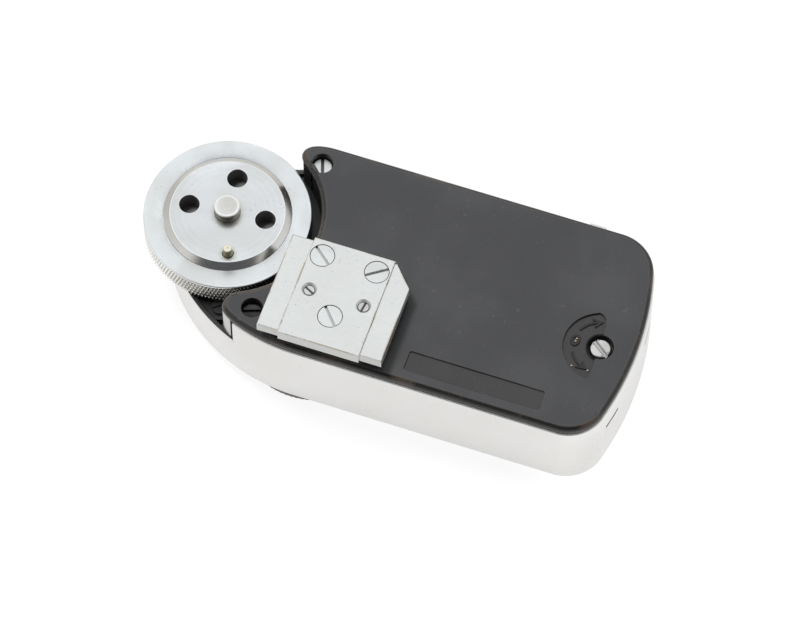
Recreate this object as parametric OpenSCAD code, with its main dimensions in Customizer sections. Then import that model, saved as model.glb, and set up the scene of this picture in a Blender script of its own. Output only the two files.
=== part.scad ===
// Clip-on selenium light meter, lying on its calculator with the foot upwards.
// Millimetres. Plan positions are measured from the coupling dial's axis, and
// the whole meter is then shifted so that the middle of its footprint is the origin.

/* [Case] */
// Height of the case wall, from the plate's face to the cover
wall_h = 13; // [12.8:0.1:13.6]
// Thickness of the case wall
wall_t = 0.8; // [0.6:0.1:0.8]
// Thickness of the plate that carries the calculator
plate_t = 0.9; // [0.8:0.05:0.9]
// Back wall, from the dial's axis
back_y = 18.95; // [18.9:0.05:19.2]
// Front wall, from the dial's axis
front_y = 13.9; // [13.9:0.05:14.1]
// Radius of the case's bowed end
end_r = 48; // [46:1:50]
// Radius of the case's nose on the back side
nose_r = 27.5; // [27.4:0.1:28]
// Height of the low wall round the dial, above the plate's face
low_wall_h = 7.85; // [7.6:0.05:7.85]

/* [Cover] */
// Thickness of the base cover
cover_t = 1.3; // [1.2:0.1:1.4]
// Height of the softened step at the cover's edge
cover_step = 0.5; // [0.3:0.1:0.6]
// Radius of the cut-out round the coupling dial
cutout_r = 13.55; // [13.5:0.05:13.7]

/* [Foot] */
// Width of the foot over its flanges, the accessory-shoe size
foot_w = 18.6; // [18.4:0.1:18.7]
// Width of the foot's centre block
block_w = 12.1; // [11.8:0.1:12.2]
// Length of the flanges
flange_len = 15.35; // [15:0.05:15.6]
// Thickness of the flanges
flange_t = 1.75; // [1.6:0.05:1.8]
// Gap between the flanges and the cover
foot_gap = 1.5; // [1.4:0.05:1.6]

/* [Coupling dial] */
// Radius of the knurled ring
ring_r = 12.18; // [12:0.02:12.3]
// Height of the knurled band
ring_h = 3.7; // [3.5:0.1:3.7]
// Height of the bevelled disc above the ring
disc_rise = 1; // [0.9:0.05:1.1]
// Radius of the steel spindle's free end
spindle_r = 1.88; // [1.7:0.02:1.9]
// Radius of the brass driving pin's nose
pin_r = 0.55; // [0.5:0.01:0.6]

/* [Gears] */
// Module of the gear pair
gear_m = 0.5; // [0.5:0.05:0.5]
// Teeth of the coupling gear
coupling_teeth = 29; // [28:1:29]
// Teeth of the calculator gear
calculator_teeth = 41; // [40:1:41]

/* [Calculator] */
// Radius of the calculator dial
calculator_r = 11.4; // [11.2:0.05:11.5]
// Thickness of the calculator dial
calculator_t = 1.3; // [1.3:0.05:1.4]

/* [Movement] */
// Length of the needle from its pivot
needle_len = 16.3; // [15:0.1:16.4]
// Swing of the needle over the scale
needle_swing = 70; // [60:1:70]
// Inner radius of the yoke ring
yoke_r = 6.3; // [6.3:0.1:6.5]

/* [Hidden] */
$fn = 96;
eps = 0.02;
slip = 0.03;
blend = 0.02;
big = 60;

// Levels, from the table up
calculator_gap = 0.2;
plate_z = calculator_t + calculator_gap;
inside_z = plate_z + plate_t;
rim_z = plate_z + wall_h;
under_cover = 0.1;
low_z = plate_z + low_wall_h;
cover_z = rim_z + cover_t;
bay_z = low_z - 1.2;
bay_t = 0.6;
ring_z = low_z + 0.25;
ring_top = ring_z + ring_h;
disc_top = ring_top + disc_rise;
pin_top = disc_top + 1.7;
gear_z = inside_z + 0.35;
gear_t = 1;

// Plan of the case
end_c = [15.05, -2.5];
nose_c = [16.5, nose_r - back_y];
near_r = 6;
far_r = 6.5;
tip_r = 9.9;
shoulder_a = 18;
near_drop = back_y - near_r + end_c.y;
far_rise = front_y - far_r - end_c.y;
near_c = [end_c.x + sqrt(pow(end_r - near_r, 2) - pow(near_drop, 2)), near_r - back_y];
far_c = [end_c.x + sqrt(pow(end_r - far_r, 2) - pow(far_rise, 2)), front_y - far_r];
near_u = (near_c - end_c) / (end_r - near_r);
near_horn = [6.3, -14.75];
near_horn_r = 1.68;
far_horn = [9.3, 12.1];
far_horn_r = 2.1;
cover_inset = 0.2;
cover_lap = 0.42;
high_wall_near_x = 6.9;
bay_post_at = [[3.2, -12.5], [6.5, 9.2], [15.9, 5.2]];
cover_screw_at = [[8.97, -14.43], [10.63, 11.11]];

// Foot
foot_c = [20.41, -10.62];
block_len = 16.1;
block_end = -18.65;
foot_z = cover_z + foot_gap + flange_t;
land_z = foot_z + 0.25;
flange_y = -18.3;
corner_cut = [3.2, 3.55];
foot_screw_at = [[-4.08, 5.6], [4.2, 5.55], [0.16, -3.28]];
set_screw_at = [[-4.05, -0.15], [4.1, -0.22]];
foot_screw_r = 1.83;
set_screw_r = 1.05;

// Coupling dial
bevel_r = 9.27;
face_r = bevel_r - disc_rise;
flange_z = ring_z + 1.4;
shaft_r = 1.5;
collar_r = 2.3;
hole_r = 1.47;
hole_ring_r = 5.65;
hole_angles = [5, 95, 186];
pin_at = 6.98 * [cos(-70), sin(-70)];
pin_guide_r = 0.86;
pin_flange_r = 1.15;
pin_step_z = disc_top + 0.3;
pin_stop_z = disc_top - 1.35;
plug_t = 0.3;

// Calculator and gears
mesh_gap = gear_m * (coupling_teeth + calculator_teeth) / 2;
mesh_a = -23.9;
calculator_at = mesh_gap * [cos(mesh_a), sin(mesh_a)];
hub_r = 2.4;
recess_r = 7.6;
recess_t = 0.75;
pressure_a = 20;
backlash = 0.05;

// Movement
pivot_at = [46, -9];
movement_post_at = [for (a = [190, 350, 270]) pivot_at + 8.2 * [cos(a), sin(a)]];
needle_z = inside_z + 0.55;
scale_z = inside_z + 1;
scale_t = 0.3;
frame_z = inside_z + 1.6;
yoke_z = frame_z + 0.6;
yoke_h = 5.8;
yoke_w = 2.3;
core_r = 4.2;
coil_z = frame_z;
coil_h = 7;
bridge_z = coil_z + coil_h + 1.2;
bridge_t = 0.6;
staff_r = 0.4;
staff_tip_r = 0.2;
zero_at = [57.77, -4.43];
zero_throw = 0.5;
zero_reach = norm(zero_at - pivot_at);
zero_a = atan2(zero_at.y - pivot_at.y, zero_at.x - pivot_at.x);
lever_z = bridge_z - 0.45;
spring_z = lever_z - 0.5;

// Windows
pane = [[33, -6], [57.5, 9]];
bezel_w = 1.5;
scale_post_at = [[31.4, -6.2], [31.4, 9.2], [59.2, -6.2], [59.2, 8.6]];
cell = [[15, inside_z + 1.5], [53.5, rim_z - 1.8]];
cell_lap = 0.8;
front_proud = 0.6;
lug_x = [50, 52.6];
lug_proud = 0.6;
slot_z = plate_z + 8.8;
slot_len = 3.4;
slot_h = 0.7;
slot_at = [-11.85, 2.55];

// Middle of the footprint
low_x = -ring_r;
high_x = end_c.x + end_r;
low_y = -back_y;
high_y = front_y + front_proud + lug_proud;
home = [-(low_x + high_x) / 2, -(low_y + high_y) / 2, 0];

// Shared shapes

// A cylinder at a plan position, between two levels
module post(at, r, z0, z1) {
    translate([at.x, at.y, z0]) cylinder(r = r, h = z1 - z0);
}

// A tube at a plan position, between two levels
module tube(at, r_out, r_in, z0, z1) {
    difference() {
        post(at, r_out, z0, z1);
        post(at, r_in, z0 - 1, z1 + 1);
    }
}

// A box from two opposite corners
module box(a, b) {
    translate(a) cube(b - a);
}

// A straight screwdriver slot across a head
module driver_slot(at, r, z, depth, angle, width) {
    translate([at.x, at.y, z - depth]) rotate(angle)
        translate([-r - 1, -width / 2, 0]) cube([2 * r + 2, width, depth + 1]);
}

// Screw with a slotted cheese head, its head's top at z
module cheese_screw(at, head_r, head_h, shank_r, z, z_tip, angle) {
    difference() {
        union() {
            post(at, head_r, z - head_h, z);
            post(at, shank_r, z_tip, z - head_h + eps);
        }
        driver_slot(at, head_r, z, head_h * 0.45, angle, 0.45);
    }
}

// A rectangle in plan with round corners
module round_rect(a, b, r) {
    for (x = [a.x + r, b.x - r], y = [a.y + r, b.y - r]) translate([x, y]) circle(r);
    translate([a.x + r, a.y]) square([b.x - a.x - 2 * r, b.y - a.y]);
    translate([a.x, a.y + r]) square([b.x - a.x, b.y - a.y - 2 * r]);
}

// Plan of the case, drawn in by inset all round, its front carried out by lap. Arcs overlap by
// blend, so that none only touch
module case_outline(inset, lap = 0) {
    tip = (tip_r - inset - blend) * [-sin(shoulder_a), cos(shoulder_a)];
    tip_x = inset - tip_r + 1;
    front = front_y - inset + lap;
    back = -back_y + inset;
    far_at = [end_c.x + sqrt(pow(end_r - far_r, 2) - pow(far_rise + lap, 2)), far_c.y + lap];
    far_dir = (far_at - end_c) / (end_r - far_r);
    shoulder_x = tip.x + (front - tip.y) / tan(shoulder_a);
    near_t = end_c + (end_r - inset) * near_u;
    far_t = end_c + (end_r - inset) * far_dir;
    polygon([[nose_c.x, back], [near_c.x, back], near_c, near_t,
        far_t, far_at, [far_at.x, front], [nose_c.x, front]]);
    translate(near_c) circle(near_r - inset + blend);
    translate(far_at) circle(far_r - inset + blend);
    intersection() {
        translate(end_c) circle(end_r - inset);
        polygon([near_t, end_c + big * near_u, [end_c.x + big, end_c.y], end_c + big * far_dir, far_t]);
    }
    intersection() {
        translate(nose_c) circle(nose_r - inset + blend);
        union() {
            circle(tip_r - inset);
            polygon([[nose_c.x + eps, back], [tip_x, back], [tip_x, 0], [0, 0], tip,
                [shoulder_x, front], [nose_c.x + eps, front]]);
        }
    }
}

// Plan of the cover: the case's plan with the dial's cut-out and two round horns
module cover_outline(inset) {
    difference() {
        case_outline(inset, cover_lap);
        circle(cutout_r + inset);
        translate([-big, 0]) square([big + far_horn.x, big]);
        translate([-big, -big]) square([big + near_horn.x, big]);
    }
    intersection() {
        case_outline(inset, cover_lap);
        union() {
            translate(near_horn) circle(near_horn_r - inset);
            translate(far_horn) circle(far_horn_r - inset);
        }
    }
}

// Involute at radius r over a base circle: its polar angle in degrees
function involute_a(r, base) =
    let (roll = sqrt(max(pow(r / base, 2) - 1, 0)))
    roll * 180 / PI - atan(roll);

// Outline of a spur gear, one tooth centred on the X axis
function gear_points(teeth) =
    let (pitch = gear_m * teeth / 2, base = pitch * cos(pressure_a))
    let (root = pitch - 1.2 * gear_m, tip = pitch + 0.9 * gear_m)
    let (half = 90 / teeth - backlash / pitch * 90 / PI + involute_a(pitch, base))
    let (radii = [root, max(root + eps, base), pitch, (pitch + tip) / 2, tip])
    [for (i = [0:teeth - 1], side = [-1, 1], k = [0:4])
        let (r = radii[side < 0 ? k : 4 - k], a = 360 * i / teeth + side * (half - involute_a(r, base)))
        r * [cos(a), sin(a)]];

// Round edge with pointed ridges, as points alternating between two radii
function ridged_points(r_out, r_in, ridges) =
    [for (i = [0:2 * ridges - 1])
        let (r = i % 2 == 0 ? r_out : r_in, a = 180 * i / ridges)
        r * [cos(a), sin(a)]];

// Tube of six sides swept along a list of points
module sweep(points, r) {
    sides = 6;
    last = len(points) - 1;
    rings = [for (i = [0:last])
        let (ahead = points[min(i + 1, last)] - points[max(i - 1, 0)])
        let (d = ahead / norm(ahead), flat = abs(d.z) > 0.9 ? [1, 0, 0] : [0, 0, 1])
        let (u0 = cross(d, flat), u = u0 / norm(u0), v = cross(d, u))
        for (k = [0:sides - 1]) points[i] + r * (cos(360 * k / sides) * u + sin(360 * k / sides) * v)];
    skin = [for (i = [0:last - 1], k = [0:sides - 1])
        let (a = i * sides + k, b = i * sides + (k + 1) % sides)
        each [[a, a + sides, b], [b, a + sides, b + sides]]];
    ends = [[for (k = [0:sides - 1]) k], [for (k = [sides - 1:-1:0]) last * sides + k]];
    polyhedron(rings, concat(skin, ends), convexity = 6);
}

// Case

module case_shell() {
    color("gainsboro") difference() {
        translate([0, 0, plate_z]) linear_extrude(wall_h) case_outline(0);
        translate([0, 0, inside_z]) linear_extrude(wall_h) case_outline(wall_t);
        box([-big, -big, low_z], [high_wall_near_x, 0, big]);
        box([-big, -eps, low_z], [far_horn.x - far_horn_r, big, big]);
        post(calculator_at, 3.2, 0, big);
        translate([0, 0, -1]) linear_extrude(big) round_rect(pane[0], pane[1], 1.5);
        cell_slab(0, -wall_t - 1, 1);
        for (y = slot_at) translate([end_c.x + end_r - 6, y - slot_len / 2, slot_z - slot_h / 2])
            cube([big, slot_len, slot_h]);
    }
}

module base_cover() {
    boss_z = rim_z - 1.6;
    color("#1c1b1a") difference() {
        union() {
            translate([0, 0, rim_z]) linear_extrude(cover_t - cover_step) cover_outline(cover_inset);
            translate([0, 0, cover_z - cover_step]) linear_extrude(cover_step)
                cover_outline(cover_inset + cover_step * 0.6);
            translate([0, 0, rim_z - 1]) linear_extrude(1 + eps) difference() {
                case_outline(wall_t + 0.05);
                case_outline(wall_t + 0.95);
                circle(cutout_r + 1.5);
                translate([-big, -big]) square([big + nose_c.x, 2 * big]);
            }
            post(zero_at, 2.5, boss_z, rim_z + eps);
            for (p = cover_screw_at) post(p, 1.75, rim_z - 1.2, rim_z + eps);
        }
        post(zero_at, 1.93, rim_z - 0.3, big);
        post(zero_at, 0.88, 0, big);
        post([0, 0], cutout_r + 0.65, 0, rim_z - eps);
        for (p = cover_screw_at) {
            post(p, 1.55, rim_z - 0.5, big);
            post(p, 0.8, 0, big);
        }
        for (p = foot_screw_at) post(foot_c + p, 0.95, 0, big);
        translate([zero_at.x, zero_at.y, cover_z - 0.25]) intersection() {
            tube([0, 0], 5.4, 2.5, 0, 1);
            translate([-12, -4.3, 0]) cube([11.6, 8.7, 1]);
        }
    }
}

module cover_screws() {
    color("silver") for (p = cover_screw_at)
        cheese_screw(p, 1.38, 0.7, 0.7, rim_z + 0.2, bay_z + bay_t + 0.6, p.y < 0 ? 20 : 109);
}

module foot_anchor() {
    color("gray") difference() {
        box([15.2, -16.6, rim_z - 1.5], [26.4, -3.2, rim_z - under_cover]);
        for (p = foot_screw_at) post(foot_c + p, 0.9, 0, big);
    }
}

// Foot

module shoe_foot() {
    color("lightgray") difference() {
        translate([foot_c.x - block_w / 2, block_end, cover_z])
            cube([block_w, block_len, land_z - cover_z]);
        for (p = foot_screw_at) {
            post(foot_c + p, foot_screw_r + slip, land_z - 1.2, big);
            post(foot_c + p, 0.95, 0, big);
        }
        for (p = set_screw_at) post(foot_c + p, set_screw_r + slip, land_z - 2.4, big);
        box([foot_c.x - block_w, block_end - 1, 0],
            [foot_c.x + block_w, block_end + 1.2, cover_z + foot_gap]);
    }
}

module foot_flanges() {
    wide = (foot_w - block_w) / 2;
    right_len = flange_len + 0.5;
    color("lightgray") translate([foot_c.x, 0, cover_z + foot_gap]) linear_extrude(flange_t) {
        translate([-foot_w / 2, flange_y]) square([wide, flange_len]);
        translate([block_w / 2, flange_y]) polygon([[0, 0], [wide, 0], [wide, right_len - corner_cut.y],
            [wide - corner_cut.x, right_len], [0, right_len]]);
    }
}

module foot_screws() {
    slot_a = [-40.3, 34.7, -48.9];
    color("silver") for (i = [0:2])
        cheese_screw(foot_c + foot_screw_at[i], foot_screw_r, 1.15, 0.88, land_z - 0.04, rim_z - 1.4,
            slot_a[i]);
}

module foot_set_screws() {
    slot_a = [-27, 82];
    color("dimgray") for (i = [0:1]) difference() {
        post(foot_c + set_screw_at[i], set_screw_r, land_z - 2.35, land_z - 0.5);
        driver_slot(foot_c + set_screw_at[i], set_screw_r, land_z - 0.5, 0.4, slot_a[i], 0.35);
    }
}

// Dial bay

module dial_bay() {
    wall_in = cutout_r + 0.05;
    ear_r = 1.9;
    neck_w = 3;
    color("#2a2a2b") difference() {
        union() {
            translate([0, 0, bay_z]) linear_extrude(bay_t) intersection() {
                case_outline(wall_t + 0.1);
                union() {
                    circle(wall_in + 0.5);
                    for (p = concat(bay_post_at, cover_screw_at, [near_horn])) {
                        translate(p) circle(ear_r);
                        rotate(atan2(p.y, p.x)) translate([wall_in - 1, -neck_w / 2])
                            square([norm(p) - wall_in + 1, neck_w]);
                    }
                }
            }
            translate([0, 0, bay_z]) linear_extrude(rim_z - bay_z - under_cover) {
                intersection() {
                    difference() {
                        circle(wall_in + 0.5);
                        circle(wall_in);
                    }
                    polygon([[0, 0], big * [cos(-67), sin(-67)], [big, -big / 2], [big, big / 2],
                        big * [cos(56), sin(56)]]);
                }
                intersection() {
                    case_outline(wall_t + 0.1);
                    translate(near_horn) difference() {
                        circle(near_horn_r - 0.35);
                        circle(near_horn_r - 0.85);
                        translate([0.2, -big]) square(2 * big);
                    }
                }
            }
        }
        post([0, 0], 2.6, 0, big);
        for (p = bay_post_at) post(p, 0.75, 0, big);
        for (p = cover_screw_at) post(p, 1.8, bay_z + bay_t, big);
    }
}

module dial_bearing() {
    color("darkgoldenrod") difference() {
        union() {
            post([0, 0], 2.6, bay_z - 0.9, bay_z + bay_t);
            post([0, 0], 3.6, bay_z - 0.9, bay_z);
        }
        post([0, 0], shaft_r + slip, 0, big);
    }
}

module bay_posts() {
    color("silver") for (p = bay_post_at) tube(p, 1.3, 0.7, inside_z, bay_z);
}

module bay_screws() {
    color("silver") for (p = bay_post_at)
        cheese_screw(p, 1.15, 0.5, 0.68, bay_z + bay_t + 0.5, bay_z - 2, 40);
}

module horn_posts() {
    color("silver") for (p = cover_screw_at) tube(p, 1.35, 0.72, bay_z + bay_t, rim_z - 1.2);
}

// Coupling dial

module knurled_ring() {
    ridges = 144;
    rim = 0.45;
    color("lightgray") difference() {
        union() {
            translate([0, 0, ring_z]) linear_extrude(ring_h - rim)
                polygon(ridged_points(ring_r, ring_r - 0.18, ridges));
            post([0, 0], ring_r - 0.06, ring_top - rim, ring_top);
        }
        post([0, 0], bevel_r + slip, 0, big);
        post([0, 0], bevel_r + 1, 0, flange_z);
    }
}

module coupling_disc() {
    color("#c9cbcd") difference() {
        union() {
            post([0, 0], bevel_r, flange_z - 0.6, ring_top);
            post([0, 0], bevel_r + 0.95, flange_z - 0.6, flange_z);
            translate([0, 0, ring_top]) cylinder(r1 = bevel_r, r2 = face_r, h = disc_rise);
        }
        post([0, 0], collar_r + 0.02, 0, big);
        for (a = hole_angles) post(hole_ring_r * [cos(a), sin(a)], hole_r, disc_top - 2.9, big);
        post(pin_at, pin_guide_r + slip, 0, big);
        post(pin_at, pin_flange_r + slip, 0, pin_stop_z);
    }
}

module dial_spindle() {
    color("silver") {
        post([0, 0], shaft_r, gear_z - 0.1, flange_z - 0.6 + eps);
        post([0, 0], collar_r, flange_z - 0.6, disc_top);
        post([0, 0], spindle_r, disc_top - eps, pin_top);
    }
}

module coupling_gear() {
    color("goldenrod") difference() {
        union() {
            translate([0, 0, gear_z]) linear_extrude(gear_t) rotate(mesh_a)
                polygon(gear_points(coupling_teeth));
            post([0, 0], 2.6, gear_z, bay_z - 1);
        }
        post([0, 0], shaft_r + 0.02, 0, big);
    }
}

module pin_plug() {
    color("silver") post(pin_at, pin_flange_r, flange_z - 0.6, flange_z - 0.6 + plug_t);
}

module pin_spring() {
    turns = 3;
    wire_r = 0.12;
    steps = 16 * turns;
    z0 = flange_z - 0.6 + plug_t + wire_r + eps;
    rise = pin_stop_z - 0.4 - wire_r - eps - z0;
    coil = [for (i = [0:steps])
        let (a = 360 * turns * i / steps)
        [pin_at.x + 0.7 * cos(a), pin_at.y + 0.7 * sin(a), z0 + rise * i / steps]];
    color("silver") sweep(coil, wire_r);
}

module coupling_pin() {
    color("#b08d3c") {
        post(pin_at, pin_guide_r, pin_stop_z - 0.4, pin_step_z);
        post(pin_at, pin_r, pin_step_z - eps, pin_top - 0.2);
        translate([pin_at.x, pin_at.y, pin_top - 0.2]) cylinder(r1 = pin_r, r2 = pin_r - 0.15, h = 0.15);
        post(pin_at, pin_flange_r, pin_stop_z - 0.4, pin_stop_z - 0.02);
    }
}

// Calculator

module calculator_bearing() {
    color("darkgoldenrod") difference() {
        union() {
            post(calculator_at, 3.18, plate_z, inside_z + 0.25);
            post(calculator_at, 4, inside_z, inside_z + 0.25);
        }
        post(calculator_at, hub_r + slip, 0, big);
    }
}

module calculator_dial() {
    color("#dcdcd8") translate([calculator_at.x, calculator_at.y, 0]) difference() {
        linear_extrude(calculator_t) polygon(ridged_points(calculator_r, calculator_r - 0.25, 90));
        post([0, 0], recess_r, -1, recess_t);
        post([0, 0], hub_r + 0.02, -1, big);
    }
}

module calculator_hub() {
    color("silver") difference() {
        post(calculator_at, hub_r, recess_t, gear_z + gear_t + 0.55);
        post(calculator_at, 1.52, 0, gear_z + gear_t);
    }
}

module calculator_gear() {
    color("goldenrod") translate([calculator_at.x, calculator_at.y, gear_z]) difference() {
        linear_extrude(gear_t) rotate(mesh_a + 180 + 180 / calculator_teeth)
            polygon(gear_points(calculator_teeth));
        post([0, 0], hub_r + 0.02, -1, big);
        for (a = [0:60:300]) post(6.2 * [cos(a), sin(a)], 1.8, -1, big);
    }
}

module calculator_clip() {
    z = gear_z + gear_t;
    color("dimgray") tube(calculator_at, 3.5, hub_r + 0.01, z + 0.03, z + 0.4);
}

module dial_centre_screw() {
    color("silver") difference() {
        union() {
            post(calculator_at, 2.8, 0.04, 0.28);
            post(calculator_at, 1.5, 0.28 - eps, gear_z + gear_t - 0.1);
        }
        translate([calculator_at.x, calculator_at.y, -1]) rotate(35) translate([-4, -0.25, 0])
            cube([8, 0.5, 1.16]);
    }
}

module film_speed_disc() {
    color("#25282b") difference() {
        union() {
            post(calculator_at, recess_r - 0.1, 0.3, recess_t - 0.05);
            post(calculator_at + [0, -6.3], 0.5, 0.1, 0.3 + eps);
        }
        post(calculator_at, 1.53, -1, big);
    }
}

// Needle window and scale

module window_bezel() {
    wide = [bezel_w, bezel_w];
    color("silver") difference() {
        linear_extrude(plate_z) round_rect(pane[0] - wide, pane[1] + wide, 2.5);
        translate([0, 0, -1]) linear_extrude(big) round_rect(pane[0], pane[1], 1.5);
    }
}

module scale_window() {
    lap = [0.7, 0.7];
    fit = [slip, slip];
    color("lightcyan", 0.4) {
        translate([0, 0, plate_z - 0.6]) linear_extrude(plate_t + 0.6)
            round_rect(pane[0] + fit, pane[1] - fit, 1.4);
        translate([0, 0, inside_z]) linear_extrude(0.2) round_rect(pane[0] - lap, pane[1] + lap, 1.4);
    }
}

module scale_plate() {
    color("white") difference() {
        box([30.4, -7, scale_z], [60.2, 10, scale_z + scale_t]);
        for (p = scale_post_at) post(p, 0.5, 0, big);
    }
}

module scale_posts() {
    color("silver") for (p = scale_post_at) {
        post(p, 0.75, inside_z, scale_z);
        post(p, 0.47, scale_z, scale_z + 0.5);
    }
}

// Cell

// A slab over the cell window, grown by lap all round, between two depths behind the front
module cell_slab(lap, y0, y1) {
    translate([cell[0].x - lap, front_y + y0, cell[0].y - lap])
        cube([cell[1].x - cell[0].x + 2 * lap, y1 - y0, cell[1].y - cell[0].y + 2 * lap]);
}

module front_frame() {
    color("silver") difference() {
        union() {
            cell_slab(0.9, 0, front_proud);
            translate([lug_x[0], front_y, cell[1].y])
                cube([lug_x[1] - lug_x[0], front_proud + lug_proud, rim_z - 0.1 - cell[1].y]);
        }
        cell_slab(0, -1, front_proud + 2);
    }
}

module honeycomb_window() {
    color("aliceblue", 0.5) {
        cell_slab(-0.04, -1.6, 0.3);
        cell_slab(cell_lap, -1.6, -wall_t - slip);
    }
}

module cell_contact_frame() {
    color("silver") difference() {
        cell_slab(cell_lap, -1.95, -1.62);
        cell_slab(-0.3, -3, 0);
    }
}

module selenium_cell() {
    color("#4a4550") cell_slab(cell_lap, -2.75, -1.97);
}

module cell_contact_leaf() {
    mid = (cell[0].x + cell[1].x) / 2;
    color("#c8a45a") {
        box([mid - 9, front_y - 3.05, 7], [mid + 9, front_y - 2.77, 10]);
        box([mid - 9, front_y - 3.6, 7], [mid - 7, front_y - 3.05, 10]);
    }
}

// Movement

module movement_posts() {
    color("silver") for (p = movement_post_at) post(p, 0.75, inside_z, frame_z);
}

module movement_frame() {
    color("darkgray") tube(pivot_at, 8.9, yoke_r, frame_z, yoke_z);
}

module yoke_ring() {
    color("dimgray") tube(pivot_at, yoke_r + yoke_w, yoke_r, yoke_z, yoke_z + yoke_h);
}

module core_magnet() {
    color("#5b5b60") tube(pivot_at, core_r, 1, yoke_z + 0.2, yoke_z + yoke_h - 0.2);
}

module core_spacers() {
    mid = (core_r + yoke_r) / 2;
    color("goldenrod") for (s = [-1, 1]) difference() {
        translate([pivot_at.x - 1.2, pivot_at.y + s * mid - 1.25, yoke_z + 2]) cube([2.4, 2.5, 1.8]);
        post(pivot_at, core_r + 0.01, 0, big);
        difference() {
            post(pivot_at, big, 0, big);
            post(pivot_at, yoke_r - 0.01, -1, big + 1);
        }
    }
}

module bridge_posts() {
    color("silver") for (s = [-1, 1]) post(pivot_at + [s * 7.45, 0], 0.9, yoke_z + yoke_h, bridge_z);
}

module upper_bridge() {
    color("darkgray") difference() {
        union() {
            translate([pivot_at.x - 8.5, pivot_at.y - 1.6, bridge_z]) cube([17, 3.2, bridge_t]);
            post(pivot_at, 1.25, bridge_z - 0.5, bridge_z + eps);
        }
        post(pivot_at, 0.62, 0, big);
    }
}

module jewel_screw() {
    top = bridge_z + bridge_t + 0.35;
    color("gold") difference() {
        post(pivot_at, 0.6, bridge_z - 0.4, top);
        post(pivot_at, staff_tip_r + 0.1, 0, bridge_z);
        driver_slot(pivot_at, 0.6, top, 0.25, 70, 0.3);
    }
}

module lower_jewel() {
    color("crimson") difference() {
        post(pivot_at, 0.9, inside_z, inside_z + 0.35);
        post(pivot_at, staff_tip_r + 0.1, inside_z + 0.1, big);
    }
}

// Pieces of the moving system are drawn at mid swing and turned back to rest
module at_rest() {
    translate([pivot_at.x, pivot_at.y, 0]) rotate(needle_swing / 2) children();
}

module needle() {
    t = 0.15;
    color("#d8401f") at_rest() translate([0, 0, needle_z]) linear_extrude(t) difference() {
        union() {
            circle(0.95);
            polygon([[-0.45, 0], [0.45, 0], [0.12, needle_len], [-0.12, needle_len]]);
            translate([-0.3, -3.6]) square([0.6, 3.6]);
        }
        circle(staff_r + 0.01);
    }
}

module moving_coil() {
    side = 5.7;
    clear = 4.6;
    bar = 0.5;
    width = 2.4;
    color("#a8552a") at_rest() difference() {
        box([-side, -width / 2, coil_z], [side, width / 2, coil_z + coil_h]);
        box([-clear, -big, coil_z + bar], [clear, big, coil_z + coil_h - bar]);
        post([0, 0], staff_r + 0.01, 0, big);
    }
}

module pivot_staff() {
    color("silver") {
        post(pivot_at, staff_r, inside_z + 0.42, bridge_z - 0.6);
        post(pivot_at, staff_tip_r, inside_z + 0.16, bridge_z - 0.1);
    }
}

module balance_weights() {
    color("goldenrod") at_rest() for (y = [-2.2, -3.2]) translate([0, y, needle_z + 0.15])
        cylinder(r = 0.42, h = 0.3);
}

module hairspring() {
    turns = 5;
    steps = 36 * turns;
    r0 = staff_r + 0.2;
    pitch = 0.55;
    half = 0.04;
    edge = [for (i = [0:steps]) let (a = 360 * turns * i / steps, r = r0 + pitch * a / 360) [a, r]];
    outer = [for (p = edge) (p[1] + half) * [cos(p[0]), sin(p[0])]];
    inner = [for (i = [steps:-1:0]) (edge[i][1] - half) * [cos(edge[i][0]), sin(edge[i][0])]];
    color("#8fa0b5") translate([pivot_at.x, pivot_at.y, spring_z]) {
        linear_extrude(0.25) polygon(concat(outer, inner));
        tube([0, 0], staff_r + 0.25, staff_r + 0.01, 0, 0.25);
    }
}

// Zero set

module zero_screw() {
    head_r = 1.54;
    head_top = cover_z - 0.35;
    out = zero_throw * [cos(zero_a), sin(zero_a)];
    color("silver") difference() {
        union() {
            post(zero_at, head_r, rim_z - 0.25, head_top - 0.3);
            translate([zero_at.x, zero_at.y, head_top - 0.3])
                cylinder(r1 = head_r, r2 = head_r - 0.4, h = 0.3);
            post(zero_at, 0.85, rim_z - 1.75, rim_z - 0.25 + eps);
            post(zero_at + out, 0.3, lever_z - 0.15, rim_z - 1.75 + eps);
        }
        driver_slot(zero_at, head_r, head_top, 0.5, -37, 0.45);
    }
}

module zero_lever() {
    reach = zero_reach + zero_throw;
    t = 0.3;
    color("silver") translate([pivot_at.x, pivot_at.y, lever_z]) rotate(zero_a) difference() {
        union() {
            cylinder(r = 2.4, h = t);
            translate([0, -0.8, 0]) cube([reach - 1.6, 1.6, t]);
            translate([reach - 2.4, -1, 0]) cube([3.4, 2, t]);
            translate([4, 0, -0.4]) cylinder(r = 0.3, h = 0.4 + eps);
        }
        translate([0, 0, -1]) cylinder(r = 1.3, h = 2);
        translate([reach - 0.9, -0.36, -1]) cube([4, 0.72, 2]);
    }
}

// Wiring

module tag_board() {
    color("#6b4a2b") {
        box([20.5, 4, inside_z + 2.6], [29.5, 10, inside_z + 3.2]);
        for (x = [21.5, 28.5]) post([x, 8.8], 0.9, inside_z, inside_z + 2.6);
    }
}

module resistor() {
    z = inside_z + 4.35;
    color("#7a3f2a") translate([21.9, 6.4, z]) rotate([0, 90, 0]) cylinder(r = 1.1, h = 6.2);
    color("silver") for (x = [21.2, 28.5]) {
        box([x, 6.1, inside_z + 3.2], [x + 0.3, 6.7, z + 0.3]);
        translate([x < 25 ? x : 28.1 - eps, 6.4, z]) rotate([0, 90, 0]) cylinder(r = 0.25, h = 0.7);
    }
}

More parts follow.
